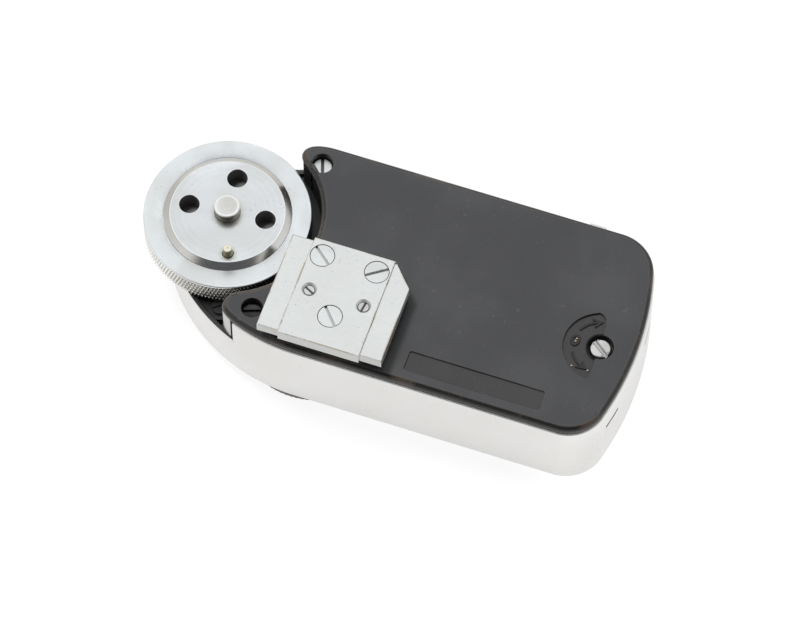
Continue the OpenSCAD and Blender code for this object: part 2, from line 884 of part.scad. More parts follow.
module cell_leads() {
    z = inside_z + 3.6;
    wire_r = 0.28;
    cell_side = [[21, 9.4, z], [20, 9.5, z + 0.6], [19.2, 9.8, z + 1.6], [18.8, 10.3, z + 2.6],
        [18.7, 10.8, z + 3.2]];
    coil_side = [[29, 4.8, z], [31, 3.6, z + 1], [33.5, 1, z + 3], [36, -3, z + 5.4],
        [37.6, -6, z + 6.4], [38.2, -7.1, z + 6.5]];
    color("#7d1f1f") sweep(cell_side, wire_r);
    color("#1d2d5a") sweep(coil_side, wire_r);
}

module socket_block() {
    color("#3a2a20") box([57, -14.2, slot_z - 1.5], [58.4, 4.8, slot_z + 0.9]);
}

module socket_contacts() {
    leaf = 0.2;
    depth = 2.7;
    color("#c8a45a") for (y = slot_at, s = [-1, 1])
        translate([58.4, y - 1.4, slot_z + s * 0.6 - leaf / 2]) cube([depth, 2.8, leaf]);
}

translate(home) {
    case_shell();
    base_cover();
    cover_screws();
    shoe_foot();
    foot_flanges();
    foot_screws();
    foot_set_screws();
    foot_anchor();
    dial_bay();
    dial_bearing();
    bay_posts();
    bay_screws();
    horn_posts();
    knurled_ring();
    coupling_disc();
    dial_spindle();
    coupling_gear();
    pin_plug();
    pin_spring();
    coupling_pin();
    calculator_bearing();
    calculator_dial();
    calculator_hub();
    calculator_gear();
    calculator_clip();
    dial_centre_screw();
    film_speed_disc();
    window_bezel();
    scale_window();
    scale_plate();
    scale_posts();
    front_frame();
    honeycomb_window();
    cell_contact_frame();
    selenium_cell();
    cell_contact_leaf();
    movement_posts();
    movement_frame();
    yoke_ring();
    core_magnet();
    core_spacers();
    bridge_posts();
    upper_bridge();
    jewel_screw();
    lower_jewel();
    needle();
    moving_coil();
    pivot_staff();
    balance_weights();
    hairspring();
    zero_screw();
    zero_lever();
    tag_board();
    resistor();
    cell_leads();
    socket_block();
    socket_contacts();
}
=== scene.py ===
"""Clip-on selenium light meter, lying on its calculator with its foot upwards.

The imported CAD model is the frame. Each visible sub-assembly is a class that works out
its surfaces with numpy, in millimetres from the coupling dial's axis, and dresses them.
"""

import logging
import math
from dataclasses import dataclass
from enum import Enum
from typing import Callable, Iterable, Mapping, Optional, Sequence

import bpy
import numpy as np
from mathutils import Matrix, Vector
from mathutils.geometry import delaunay_2d_cdt


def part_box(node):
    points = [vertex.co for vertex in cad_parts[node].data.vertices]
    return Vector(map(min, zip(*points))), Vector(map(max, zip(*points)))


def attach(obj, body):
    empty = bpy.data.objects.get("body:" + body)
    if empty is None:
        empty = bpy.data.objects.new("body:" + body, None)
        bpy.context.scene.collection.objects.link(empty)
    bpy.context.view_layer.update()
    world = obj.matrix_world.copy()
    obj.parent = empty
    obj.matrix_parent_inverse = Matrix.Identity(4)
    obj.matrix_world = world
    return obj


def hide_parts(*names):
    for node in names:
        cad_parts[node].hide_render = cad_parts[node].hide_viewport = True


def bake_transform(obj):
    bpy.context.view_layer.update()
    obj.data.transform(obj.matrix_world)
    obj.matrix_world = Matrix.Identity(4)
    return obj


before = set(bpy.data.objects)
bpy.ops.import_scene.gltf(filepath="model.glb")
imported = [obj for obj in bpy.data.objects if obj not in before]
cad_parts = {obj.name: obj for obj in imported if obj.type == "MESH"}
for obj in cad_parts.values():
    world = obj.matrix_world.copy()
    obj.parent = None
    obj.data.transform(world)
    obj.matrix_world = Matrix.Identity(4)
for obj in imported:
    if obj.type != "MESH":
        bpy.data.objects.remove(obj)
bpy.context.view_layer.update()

LOG = logging.getLogger("light_meter")
MM = 0.001
# The dial's axis, from the model's origin
HOME = np.array([-25.435, 1.925, 0.0])
# Width of the flat strip that holds an eased edge's shading off the face beside it
LIP = 0.05
# Edges that bend by more than this stay sharp
SHARP = math.radians(40)
# Depth of the finishes' relief, in metres
RELIEF = 0.00002
WHITE = (1.0, 1.0, 1.0)

Rgb = tuple[float, float, float]
Point = Sequence[float]
Socket = bpy.types.NodeSocket


class Body(str, Enum):
    """The CAD bodies that pieces ride on."""

    CASE = "meter_body"
    DIAL = "coupling_dial"
    PIN = "driving_pin"
    CALCULATOR = "calculator"
    FILM = "film_speed"
    ZERO = "zero_adjuster"


class Facing(Enum):
    """Which way a flat face looks."""

    UP = 1
    DOWN = -1


# Plan curves


def unit(degrees: float | np.ndarray) -> np.ndarray:
    """Plan directions at angles in degrees."""
    turn = np.radians(degrees)
    return np.stack([np.cos(turn), np.sin(turn)], -1)


def polar(centre: Point, radius: float, degrees: float | np.ndarray) -> np.ndarray:
    """Plan points at one distance from a centre, at angles in degrees."""
    return np.asarray(centre, float) + radius * unit(degrees)


def ring_of(count: int) -> np.ndarray:
    """Directions evenly all round."""
    return unit(np.linspace(0, 360, count, endpoint=False))


def circle(centre: Point, radius: float, count: int = 96) -> np.ndarray:
    """A full circle as a loop of points."""
    return np.asarray(centre, float) + radius * ring_of(count)


def arc(centre: Point, radius: float, start: float, stop: float, step: float = 0.15) -> np.ndarray:
    """Points of a circle's arc, at an even run of angles.

    Args:
        centre: middle of the circle.
        radius: its radius.
        start: first angle in degrees.
        stop: last angle in degrees.
        step: greatest distance between points.

    Returns:
        Points, one row each.
    """
    count = max(4, int(abs(math.radians(stop - start)) * radius / step) + 2)
    return polar(centre, radius, np.linspace(start, stop, count))


def bezier(a: Point, b: Point, c: Point, d: Point, count: int = 24) -> np.ndarray:
    """Points of a cubic curve from a to d, pulled by b and c with Bernstein weights."""
    t = np.linspace(0, 1, count)[:, None]
    weights = ((1 - t) ** 3, 3 * t * (1 - t) ** 2, 3 * t**2 * (1 - t), t**3)
    return sum(weight * np.asarray(p, float) for weight, p in zip(weights, (a, b, c, d)))


def closed(*runs: np.ndarray, step: float = 0.6) -> np.ndarray:
    """Joins runs of points into one loop, drops doubles and splits segments longer than step."""
    points = np.concatenate([np.asarray(r, float) for r in runs])
    points = points[np.linalg.norm(points - np.roll(points, 1, 0), axis=1) > 1e-4]
    ahead = np.roll(points, -1, 0) - points
    parts = np.maximum(1, np.ceil(np.linalg.norm(ahead, axis=1) / step)).astype(int)
    which = np.repeat(np.arange(len(points)), parts)
    share = (np.arange(len(which)) - np.repeat(np.cumsum(parts) - parts, parts)) / parts[which]
    return points[which] + share[:, None] * ahead[which]


def box_of(low: Point, high: Point) -> np.ndarray:
    """The corners of a rectangle, counter-clockwise."""
    return np.array([[low[0], low[1]], [high[0], low[1]], [high[0], high[1]], [low[0], high[1]]])


def round_rect(low: Point, high: Point, radius: float) -> np.ndarray:
    """A rectangle with round corners as a loop, from its right side on."""
    inner = box_of(np.asarray(low) + radius, np.asarray(high) - radius)
    return closed(*(arc(inner[(k + 2) % 4], radius, 90 * k, 90 * k + 90, 0.1) for k in range(4)))


def across(path: np.ndarray) -> np.ndarray:
    """Unit normals to the left of an open path, from the differences of its points."""
    ahead = np.gradient(path, axis=0)
    ahead /= np.linalg.norm(ahead, axis=1, keepdims=True)
    return np.stack([-ahead[:, 1], ahead[:, 0]], 1)


def outward(loop: np.ndarray) -> np.ndarray:
    """Mitred outward normals of a loop that runs counter-clockwise.

    Each is the sum of the two neighbouring edge normals over one plus their dot product,
    so that moving a loop by a distance along them moves every edge by that distance.
    """
    ahead = np.roll(loop, -1, 0) - loop
    ahead /= np.linalg.norm(ahead, axis=1, keepdims=True)
    after = np.stack([ahead[:, 1], -ahead[:, 0]], 1)
    before = np.roll(after, 1, 0)
    return (after + before) / np.maximum(0.35, 1 + (after * before).sum(1, keepdims=True))


def grown(loop: np.ndarray, by: float) -> np.ndarray:
    """A loop moved outwards by a distance, or inwards where that is below zero."""
    return loop + by * outward(loop)


def counter_clockwise(loop: np.ndarray) -> np.ndarray:
    """A loop turned round if its enclosed area, by the shoelace sum, is below zero."""
    ahead = np.roll(loop, -1, 0)
    area = (loop[:, 0] * ahead[:, 1] - loop[:, 1] * ahead[:, 0]).sum()
    return loop if area > 0 else loop[::-1]


def turned(points: np.ndarray, degrees: float) -> np.ndarray:
    """Plan points turned about the origin."""
    c, s = unit(degrees)
    return points @ np.array([[c, s], [-s, c]])


def fill(loops: Sequence[np.ndarray]) -> tuple[np.ndarray, np.ndarray]:
    """Triangles over the region that an odd number of loops enclose.

    Args:
        loops: outlines and the holes in them, in any order.

    Returns:
        Points and triangles, counter-clockwise.
    """
    points = np.concatenate(loops)
    starts = np.cumsum([0] + [len(loop) for loop in loops])
    runs = [np.arange(a, b) for a, b in zip(starts[:-1], starts[1:])]
    edges = np.concatenate([np.stack([run, np.roll(run, -1)], 1) for run in runs])
    made = delaunay_2d_cdt([Vector(p) for p in points], edges.tolist(), [], 0, 1e-6)
    found = np.array([tuple(v) for v in made[0]])
    faces = np.array([f for f in made[2] if len(f) == 3])
    x, y = found[faces].mean(1).T[:, :, None]
    a, b = points[edges[:, 0]], points[edges[:, 1]]
    level = (a[:, 1] > y) != (b[:, 1] > y)
    rise = np.where(np.abs(b[:, 1] - a[:, 1]) < 1e-12, 1e-12, b[:, 1] - a[:, 1])
    cross = a[:, 0] + (y - a[:, 1]) * (b[:, 0] - a[:, 0]) / rise
    return found, faces[(level & (x < cross)).sum(1) % 2 == 1]


# Profiles, and the points that they give


def edge_bend(radius: float, z: float, steps: int) -> np.ndarray:
    """Profile of a rounded upper edge, as (inset, height): a quarter circle that ends on the flat."""
    t = np.linspace(0, np.pi / 2, steps + 1)
    return np.stack([radius * (1 - np.cos(t)), z - radius * (1 - np.sin(t))], 1)


def edge_fillet(radius: float, z: float, steps: int = 6) -> np.ndarray:
    """A rounded upper edge with a lip on the flat."""
    return np.concatenate([edge_bend(radius, z, steps), [[radius + LIP, z]]])


def edge_foot(radius: float, z: float, steps: int = 6) -> np.ndarray:
    """A rounded lower edge, read from the lip on its flat upwards."""
    return edge_fillet(radius, 0, steps)[::-1] * [1, -1] + [0, z]


def eased_wall(low: float, high: float, edge: float, steps: int) -> tuple[np.ndarray, np.ndarray]:
    """Profile of a wall up to a rounded edge, and its wear, which is on that edge."""
    profile = np.concatenate([[[0.0, low]], edge_fillet(edge, high, steps)])
    wear = np.ones(len(profile))
    wear[[0, -1]] = 0.0
    return profile, wear


def turned_edge(radius: float, edge: float, z: float) -> np.ndarray:
    """A rounded upper edge of something turned, as (radius, height)."""
    return edge_bend(edge, z, 5) * [-1, 1] + [radius, 0]


def raised(plan: np.ndarray, z: float | np.ndarray) -> np.ndarray:
    """Rows of plan points with their heights, one for all of them or one for each row."""
    heights = np.broadcast_to(np.reshape(z, (-1, 1, 1)), plan.shape[:2] + (1,))
    return np.concatenate([plan, heights], 2)


def carried(path: np.ndarray, out: np.ndarray, profile: np.ndarray) -> np.ndarray:
    """Rows of points that a profile of (inset, height) gives along a path with outward normals."""
    return raised(path[None] - profile[:, :1, None] * out[None], profile[:, 1])


def spun(profile: np.ndarray, ring: np.ndarray) -> np.ndarray:
    """Rows of points that a profile of (radius, height) gives along a ring of directions."""
    return raised(profile[:, :1, None] * ring[None], profile[:, 1])


# Surfaces and pieces


class Surface:
    """Vertices and faces gathered for one piece, in millimetres from the dial's axis."""

    def __init__(self) -> None:
        """Starts with nothing."""
        self._points: list[np.ndarray] = []
        self._wear: list[np.ndarray] = []
        self._faces: list[np.ndarray] = []
        self._finish: list[np.ndarray] = []
        self._count = 0

    def _take(self, points: np.ndarray, faces: np.ndarray, wear: np.ndarray, finish: int) -> None:
        """Adds points with their faces, a triangle as a quad that comes back to its first corner."""
        faces = faces[:, [0, 1, 2, 0]] if faces.shape[1] == 3 else faces
        self._faces.append(faces + self._count)
        self._finish.append(np.full(len(faces), finish))
        self._points.append(points)
        self._wear.append(wear)
        self._count += len(points)

    def grid(
        self,
        points: np.ndarray,
        wrap: bool = True,
        flip: bool = False,
        wear: np.ndarray | float = 0.0,
        finish: int = 0,
        mask: Optional[np.ndarray] = None,
    ) -> "Surface":
        """Adds a grid of rows of points as quads.

        Args:
            points: rows, columns and xyz.
            wrap: whether each row closes on itself.
            flip: whether the faces look the other way.
            wear: wear of all points, of each row, or of each point.
            finish: index of the finish.
            mask: which quads are kept, by row and column.

        Returns:
            The surface itself.
        """
        rows, columns = points.shape[:2]
        index = np.arange(rows * columns).reshape(rows, columns)
        right = np.roll(index, -1, 1) if wrap else index[:, 1:]
        left = index if wrap else index[:, :-1]
        quads = np.stack([left[:-1], right[:-1], right[1:], left[1:]], -1)
        quads = quads[mask] if mask is not None else quads.reshape(-1, 4)
        worn = np.asarray(wear, float)
        worn = np.broadcast_to(worn[:, None] if worn.ndim == 1 else worn, (rows, columns))
        self._take(points.reshape(-1, 3), quads[:, ::-1] if flip else quads, worn.ravel(), finish)
        return self

    def wall(
        self,
        loop: np.ndarray,
        profile: np.ndarray,
        hole: bool = False,
        wear: np.ndarray | float = 0.0,
        finish: int = 0,
    ) -> "Surface":
        """Carries a profile of (inset, height) round a loop; a hole's wall looks inwards."""
        return self.grid(carried(loop, outward(loop), profile), True, hole, wear, finish)

    def cap(
        self,
        loops: Sequence[np.ndarray],
        z: float,
        facing: Facing = Facing.UP,
        finish: int = 0,
        wear: float = 0.0,
    ) -> "Surface":
        """Fills the region between loops at one height."""
        points, faces = fill(loops)
        flat = np.column_stack([points, np.full(len(points), z)])
        self._take(flat, faces[:, :: facing.value], np.full(len(flat), wear), finish)
        return self

    def lathe(
        self,
        centre: Point,
        profile: Sequence[Point],
        count: int = 96,
        wear: np.ndarray | float = 0.0,
        finish: int = 0,
    ) -> "Surface":
        """Turns a profile of (radius, height), read from the bottom up on the outside, about a centre.

        A row at no radius becomes one point with a fan, so that poles are closed.
        """
        profile, worn = np.asarray(profile, float), np.asarray(wear, float)
        solid = profile[:, 0] > 0
        rows = spun(profile[solid], ring_of(count)) + [*centre, 0]
        self.grid(rows, wear=worn[solid] if worn.ndim else worn, finish=finish)
        near = np.arange(count)
        fan = np.stack([near, np.roll(near, -1), np.full(count, count)], 1)
        for end, way in ((0, -1), (-1, 1)):
            if not solid[end]:
                points = np.concatenate([rows[end], [[*centre, profile[end, 1]]]])
                self._take(points, fan[:, ::way], np.zeros(count + 1), finish)
        return self

    def slab(
        self,
        loop: np.ndarray,
        low: float,
        high: float,
        edge: float,
        base_edge: float = 0.0,
        finish: int = 0,
        rub: float = 0.0,
    ) -> "Surface":
        """A plate with rounded, worn upper edges, closed underneath.

        Args:
            loop: its outline.
            low: height of its underside.
            high: height of its top.
            edge: radius of the upper edge.
            base_edge: radius of the lower edge.
            finish: index of the finish.
            rub: how far the wear runs in over the top.

        Returns:
            The surface itself.
        """
        top, fade = edge_fillet(edge, high), [0.5, 0.0]
        if rub:
            top, fade = np.concatenate([top, [[edge + LIP + rub, high]]]), [0.8, 0.6, 0.0]
        foot = edge_foot(base_edge, low) if base_edge else np.array([[LIP, low], [0.0, low]])
        profile = np.concatenate([foot, top])
        wear = np.concatenate([np.zeros(len(foot)), np.ones(len(top) - len(fade)), fade])
        self.wall(loop, profile, wear=wear, finish=finish)
        self.cap([grown(loop, -profile[-1, 0])], high, finish=finish)
        return self.cap([grown(loop, -profile[0, 0])], low, Facing.DOWN, finish)

    def pit(
        self,
        loop: np.ndarray,
        top: float,
        floor: float,
        edge: float,
        finish: int,
        inner: int,
        worn: float = 0.0,
    ) -> np.ndarray:
        """A sunk place with a rounded rim.

        Args:
            loop: outline of the sunk place at its walls.
            top: height of the face that it is sunk in.
            floor: height of its floor.
            edge: radius of its rim.
            finish: finish of the rim.
            inner: finish of the wall and floor.
            worn: wear on the rim.

        Returns:
            The loop to leave out of the face.
        """
        rim = edge_fillet(edge, top)[::-1] * [-1, 1]
        self.wall(loop, rim, wear=np.r_[0.0, np.full(len(rim) - 1, worn)], finish=finish)
        self.wall(loop, np.array([[0.0, top - edge], [0.0, floor], [LIP, floor]]), finish=inner)
        self.cap([grown(loop, -LIP)], floor, finish=inner)
        return grown(loop, edge + LIP)

    def slab_ring(
        self, outer: np.ndarray, inner: np.ndarray, low: float, high: float, edge: float
    ) -> "Surface":
        """A flat ring between two loops, with rounded upper edges."""
        profile, wear = eased_wall(low, high, edge, 4)
        self.wall(outer, profile, wear=wear)
        self.wall(inner, profile * [-1, 1], hole=True, wear=wear)
        flat = profile[-1, 0]
        self.cap([grown(outer, -flat), grown(inner, flat)], high)
        return self.cap([outer, inner], low, Facing.DOWN)

    def stand(self) -> "Surface":
        """Stands the surface up, so that what looked up looks along +Y and what was Y is height."""
        self._points = [p[:, [0, 2, 1]] for p in self._points]
        self._faces = [f[:, ::-1] for f in self._faces]
        return self

    def _welded(self) -> tuple[np.ndarray, np.ndarray, list[np.ndarray], np.ndarray]:
        """Joins points that share a place, and drops what that leaves of faces without area.

        Returns:
            Points, their wear, the quads and the triangles, and the finish of each of these.
        """
        points, faces = np.concatenate(self._points), np.concatenate(self._faces)
        _, first, weld = np.unique(np.round(points, 4), axis=0, return_index=True, return_inverse=True)
        weld = weld.ravel()
        wear = np.zeros(len(first))
        np.maximum.at(wear, weld, np.concatenate(self._wear))
        faces, finish = weld[faces], np.concatenate(self._finish)
        same = faces == np.roll(faces, -1, 1)
        crossed = (faces[:, 0] == faces[:, 2]) | (faces[:, 1] == faces[:, 3])
        quad, triangle = ~same.any(1) & ~crossed, same.sum(1) == 1
        corners = np.sort(np.argsort(same[triangle], axis=1, kind="stable")[:, :3], axis=1)
        lists = [faces[quad], np.take_along_axis(faces[triangle], corners, 1)]
        return points[first], wear, lists, np.concatenate([finish[quad], finish[triangle]])

    def build(
        self,
        name: str,
        body: Body,
        slot: str,
        finishes: Sequence["Finish"],
        replaces: Iterable[str] = (),
        onto: Optional[tuple] = None,
    ) -> None:
        """Welds the points and makes the object, which rides on its body unless onto is given.

        Args:
            name: the piece's name.
            body: what it rides on.
            slot: the record's material slot; not used.
            finishes: its finishes, in the order of the faces' indices.
            replaces: CAD nodes that it stands for.
            onto: for a piece between two bodies, that body and the points between; such a piece only has its
                transform baked and rides on neither body.
        """
        points, wear, lists, kinds = self._welded()
        sizes = np.concatenate([np.full(len(f), f.shape[1]) for f in lists])
        loops = np.concatenate([f.ravel() for f in lists])
        mesh = bpy.data.meshes.new(name)
        mesh.vertices.add(len(points))
        mesh.loops.add(len(loops))
        mesh.polygons.add(len(sizes))
        mesh.vertices.foreach_set("co", ((points + HOME) * MM).astype(np.float32).ravel())
        mesh.loops.foreach_set("vertex_index", loops.astype(np.int32))
        mesh.polygons.foreach_set("loop_start", (np.cumsum(sizes) - sizes).astype(np.int32))
        mesh.polygons.foreach_set("material_index", kinds.astype(np.int32))
        mesh.polygons.foreach_set("use_smooth", np.ones(len(sizes), bool))
        mesh.update(calc_edges=True)
        mesh.validate()
        # The wear attribute marks real wear, and also where finishes paint shade and highlight lines.
        layer = mesh.attributes.new("wear", "FLOAT", "POINT")
        layer.data.foreach_set("value", wear.astype(np.float32))
        mesh.set_sharp_from_angle(angle=SHARP)
        piece = bpy.data.objects.new(name, mesh)
        bpy.context.scene.collection.objects.link(piece)
        for item in finishes:
            mesh.materials.append(item.material())
        if onto:
            span = (tuple((np.asarray(p) + HOME) * MM) for p in onto[1:])
            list(span)
            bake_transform(piece)
        else:
            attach(piece, body.value)
        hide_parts(*replaces)
        LOG.info("%s: %d faces on %s", name, len(sizes), body.value)


# Finishes


class Graph:
    """Adds nodes to a shader tree, with values or links set by the inputs' names."""

    def __init__(self, tree: bpy.types.NodeTree) -> None:
        """Keeps the tree."""
        self.tree = tree

    def put(self, socket: Socket, value: object) -> None:
        """Links an input from a socket, or sets it to a number, a vector or a colour."""
        if isinstance(value, Socket):
            self.tree.links.new(value, socket)
        else:
            socket.default_value = (*value, 1.0) if socket.type == "RGBA" else value

    def add(self, kind: str, values: Optional[dict] = None, **settings: object) -> bpy.types.Node:
        """Adds one node.

        Args:
            kind: the node's type without its ShaderNode prefix.
            values: inputs by name or number, as numbers, colours or sockets to link from.
            settings: the node's own properties.

        Returns:
            The node.
        """
        node = self.tree.nodes.new("ShaderNode" + kind)
        for key, value in settings.items():
            setattr(node, key, value)
        for key, value in (values or {}).items():
            self.put(node.inputs[key], value)
        return node

    def math(self, operation: str, *terms: object, clamp: bool = False) -> Socket:
        """A Math node's result."""
        return self.add("Math", dict(enumerate(terms)), operation=operation, use_clamp=clamp).outputs[0]

    def times(self, a: object, b: object, clamp: bool = False) -> Socket:
        """A product."""
        return self.math("MULTIPLY", a, b, clamp=clamp)

    def plus(self, a: object, b: object, clamp: bool = False) -> Socket:
        """A sum."""
        return self.math("ADD", a, b, clamp=clamp)

    def minus(self, a: object, b: object, clamp: bool = False) -> Socket:
        """A difference."""
        return self.math("SUBTRACT", a, b, clamp=clamp)

    def total(self, base: object, *pairs: tuple[Socket, float], clamp: bool = False) -> Socket:
        """A base plus values times their weights, the last sum clamped if asked."""
        for k, (value, weight) in enumerate(pairs, 1):
            base = self.plus(self.times(value, weight), base, clamp and k == len(pairs))
        return base

    def smooth(self, value: Socket, low: float, high: float) -> Socket:
        """Zero below low and one above high, with a smooth step between."""
        values = {"Value": value, "From Min": low, "From Max": high, "To Min": 0.0, "To Max": 1.0}
        return self.add("MapRange", values, interpolation_type="SMOOTHSTEP").outputs["Result"]

    def mix(self, share: object, a: object, b: object) -> Socket:
        """A colour from a to b."""
        return self.add("Mix", {0: share, 6: a, 7: b}, data_type="RGBA").outputs[2]

    def tint(self, tone: object, mask: object, share: object, colour: object) -> Socket:
        """A tone taken towards a colour by a mask times a share."""
        return self.mix(self.times(mask, share), tone, colour)

    def place(self) -> Socket:
        """The object's own coordinates, in metres."""
        return self.add("TexCoord").outputs["Object"]

    def split(self, vector: Socket) -> Sequence[Socket]:
        """A vector's x, y and z."""
        return self.add("SeparateXYZ", {0: vector}).outputs

    def noise(self, scale: object, where: Optional[Socket] = None, detail: float = 2.0) -> Socket:
        """Noise over the object's own coordinates or a given vector, with its scale per metre."""
        values = {"Vector": where or self.place(), "Scale": scale, "Detail": detail, "Roughness": 0.5}
        return self.add("TexNoise", values).outputs[0]

    def stretched(self, size: Point, spin: float = 0.0) -> Socket:
        """Object coordinates turned about Z and scaled per axis."""
        values = {"Vector": self.place(), "Rotation": (0, 0, math.radians(spin)), "Scale": size}
        return self.add("Mapping", values).outputs[0]


Given = Mapping[str, Socket]
Fill = Callable[[Graph, Given], dict[str, Socket]]


def node_group(name: str, *outputs: str, **inputs: float) -> Callable[[Fill], Callable[..., Given]]:
    """Makes a function that fills a tree into one that places it as a shader node group.

    Args:
        name: the group's name.
        outputs: its float outputs.
        inputs: its float inputs, with their first values.

    Returns:
        The decorator. What it makes takes a graph and input values, and returns the outputs.
    """

    def tree_of(fill_tree: Fill) -> bpy.types.NodeTree:
        """The group's tree, made the first time that it is asked for."""
        tree = bpy.data.node_groups.get(name)
        if tree:
            return tree
        tree = bpy.data.node_groups.new(name, "ShaderNodeTree")
        for key, value in inputs.items():
            socket = tree.interface.new_socket(key, in_out="INPUT", socket_type="NodeSocketFloat")
            socket.default_value = value
        for key in outputs:
            tree.interface.new_socket(key, in_out="OUTPUT", socket_type="NodeSocketFloat")
        ends, starts = (tree.nodes.new("NodeGroup" + end) for end in ("Output", "Input"))
        for key, socket in fill_tree(Graph(tree), starts.outputs).items():
            tree.links.new(socket, ends.inputs[key])
        return tree

    def wrap(fill_tree: Fill) -> Callable[..., Given]:
        """Keeps the function that fills the tree."""

        def placed(g: Graph, **values: float) -> Given:
            """Places the group with its own values."""
            return g.add("Group", values, node_tree=tree_of(fill_tree)).outputs

        return placed

    return wrap


@node_group("dust_specks", "Mask", Scale=2600.0, Amount=0.2)
def dust_specks(g: Graph, given: Given) -> dict[str, Socket]:
    """Crumbs where fine noise, helped by a broad one, stands above a level that falls with the amount."""
    fine = g.noise(given["Scale"], detail=1.0)
    broad = g.noise(g.times(given["Scale"], 0.07), detail=1.0)
    bar = g.total(0.86, (given["Amount"], -0.3))
    return {"Mask": g.smooth(g.minus(g.total(fine, (broad, 0.25)), bar), 0.0, 0.05)}


@node_group("hairline_scratches", "Mask", Scale=900.0, Amount=1.0)
def hairline_scratches(g: Graph, given: Given) -> dict[str, Socket]:
    """Thin crests of two long noises laid across each other, kept where a broad noise is high."""
    crests = []
    for spin, side in ((24.0, 1.0), (-61.0, 0.8)):
        value = g.noise(given["Scale"], g.stretched((side, side * 0.035, side), spin), 1.0)
        off = g.math("ABSOLUTE", g.minus(value, 0.5))
        crests.append(g.minus(1.0, g.smooth(off, 0.0, 0.02)))
    broken = g.smooth(g.noise(260.0, detail=3.0), 0.46, 0.6)
    both = g.times(g.math("MAXIMUM", *crests), broken)
    return {"Mask": g.times(both, given["Amount"], clamp=True)}


@node_group("edge_wear_and_painted_light", "Mask", "Edge", Amount=0.45)
def edge_wear_and_painted_light(g: Graph, given: Given) -> dict[str, Socket]:
    """The piece's wear attribute, which also marks where painted shade and highlight go, and that attribute
    eaten away by broad and fine noise.
    """
    mark = g.add("Attribute", attribute_name="wear").outputs["Fac"]
    rough = g.total(0.0, (g.noise(170.0), 0.75), (g.noise(2600.0, detail=3.0), 0.25))
    level = g.smooth(g.minus(given["Amount"], rough), 0.0, 0.1)
    return {"Mask": g.times(level, g.smooth(mark, 0.25, 0.8)), "Edge": mark}


@node_group("turning_marks", "Fine", "Coarse", "Radius", X=0.0, Y=0.0, Rings=14000.0)
def turning_marks(g: Graph, given: Given) -> dict[str, Socket]:
    """The distance from an upright axis, and fine and coarse noise of it, which runs in rings."""
    spot = g.split(g.place())
    dx, dy = g.minus(spot[0], given["X"]), g.minus(spot[1], given["Y"])
    made = {"Radius": g.math("SQRT", g.plus(g.times(dx, dx), g.times(dy, dy)))}
    for key, scale in (("Fine", 1.0), ("Coarse", 0.16)):
        w = g.times(g.times(made["Radius"], given["Rings"]), scale)
        values = {"W": w, "Scale": 1.0, "Detail": 2.0}
        made[key] = g.add("TexNoise", values, noise_dimensions="1D").outputs[0]
    return made


@node_group("handling_marks", "Broad", "Fine", Scale=110.0)
def handling_marks(g: Graph, given: Given) -> dict[str, Socket]:
    """Broad cloudy noise from zero to one, and a finer mottle."""
    broad = g.smooth(g.noise(given["Scale"], detail=3.0), 0.35, 0.7)
    return {"Broad": broad, "Fine": g.noise(g.times(given["Scale"], 14.0), detail=3.0)}


@dataclass(frozen=True)
class Finish:
    """A surface finish, made into one material the first time that it is asked for."""

    name: str

    def material(self) -> bpy.types.Material:
        """The finish's material."""
        title = self.name + "_finish"
        made = bpy.data.materials.get(title)
        if made is None:
            made = bpy.data.materials.new(title)
            made.use_nodes = True
            self.dress(Graph(made.node_tree))
        return made

    def dress(self, g: Graph) -> None:
        """Adds the finish's nodes to its shader."""
        raise NotImplementedError

    @staticmethod
    def settle(
        g: Graph,
        tone: Socket,
        gloss: Socket,
        height: Optional[Socket] = None,
        strength: float = 0.0,
        **others: object,
    ) -> None:
        """Sets the shader's inputs.

        Args:
            g: the material's graph.
            tone: base colour.
            gloss: roughness.
            height: relief, if it has any.
            strength: strength of the relief.
            others: more inputs, with underscores for spaces.
        """
        shader = g.tree.nodes["Principled BSDF"]
        if height is not None:
            bump = {"Height": height, "Strength": strength, "Distance": RELIEF}
            others["Normal"] = g.add("Bump", bump).outputs[0]
        for key, value in {"Base_Color": tone, "Roughness": gloss, **others}.items():
            g.put(shader.inputs[key.replace("_", " ")], value)


@dataclass(frozen=True)
class PlatedMetal(Finish):
    """Satin plating over brass: mottled sheen, hairlines, specks, and brass where edges are worn."""

    tint: Rgb
    stain: Rgb
    worn: Rgb = (0.72, 0.52, 0.25)
    rough: float = 0.30
    wear: float = 0.30
    hairlines: float = 0.35
    grain: float = 0.15
    grain_size: Rgb = (9000.0, 9000.0, 9000.0)
    grain_tone: float = 0.12
    near_face_shade: float = 0.0

    def dress(self, g: Graph) -> None:
        """Plating colour with stains, painted shade on faces that look towards -Y, brass at worn edges, and
        grain.
        """
        smudge = handling_marks(g, Scale=90.0)
        dust = dust_specks(g, Scale=2400.0, Amount=0.0)["Mask"]
        hair = hairline_scratches(g, Scale=700.0, Amount=self.hairlines)["Mask"]
        rub = edge_wear_and_painted_light(g, Amount=self.wear)["Mask"]
        grain = g.noise(1.0, g.stretched(self.grain_size))
        tone = g.tint(self.tint, smudge["Broad"], 0.35, self.stain)
        tone = g.tint(tone, g.smooth(grain, 0.3, 0.7), self.grain_tone, self.stain)
        # Painted shade: faces whose normal looks towards -Y are darkened.
        if self.near_face_shade:
            tilt = g.split(g.add("NewGeometry").outputs["Normal"])[1]
            end = g.smooth(g.times(tilt, -1.0), 0.6, 0.9)
            tone = g.tint(tone, end, self.near_face_shade, tuple(c * 0.6 for c in self.stain))
        tone = g.tint(tone, dust, 0.35, (0.30, 0.27, 0.23))
        tone = g.tint(tone, hair, 0.4, (0.92, 0.92, 0.91))
        tone = g.tint(tone, rub, 0.7, self.worn)
        sheen = ((smudge["Fine"], 0.10), (grain, self.grain), (hair, 0.12))
        gloss = g.total(self.rough - 0.05, *sheen, clamp=True)
        self.settle(g, tone, gloss, g.minus(g.times(grain, 0.5), hair), 0.12, Metallic=1.0)


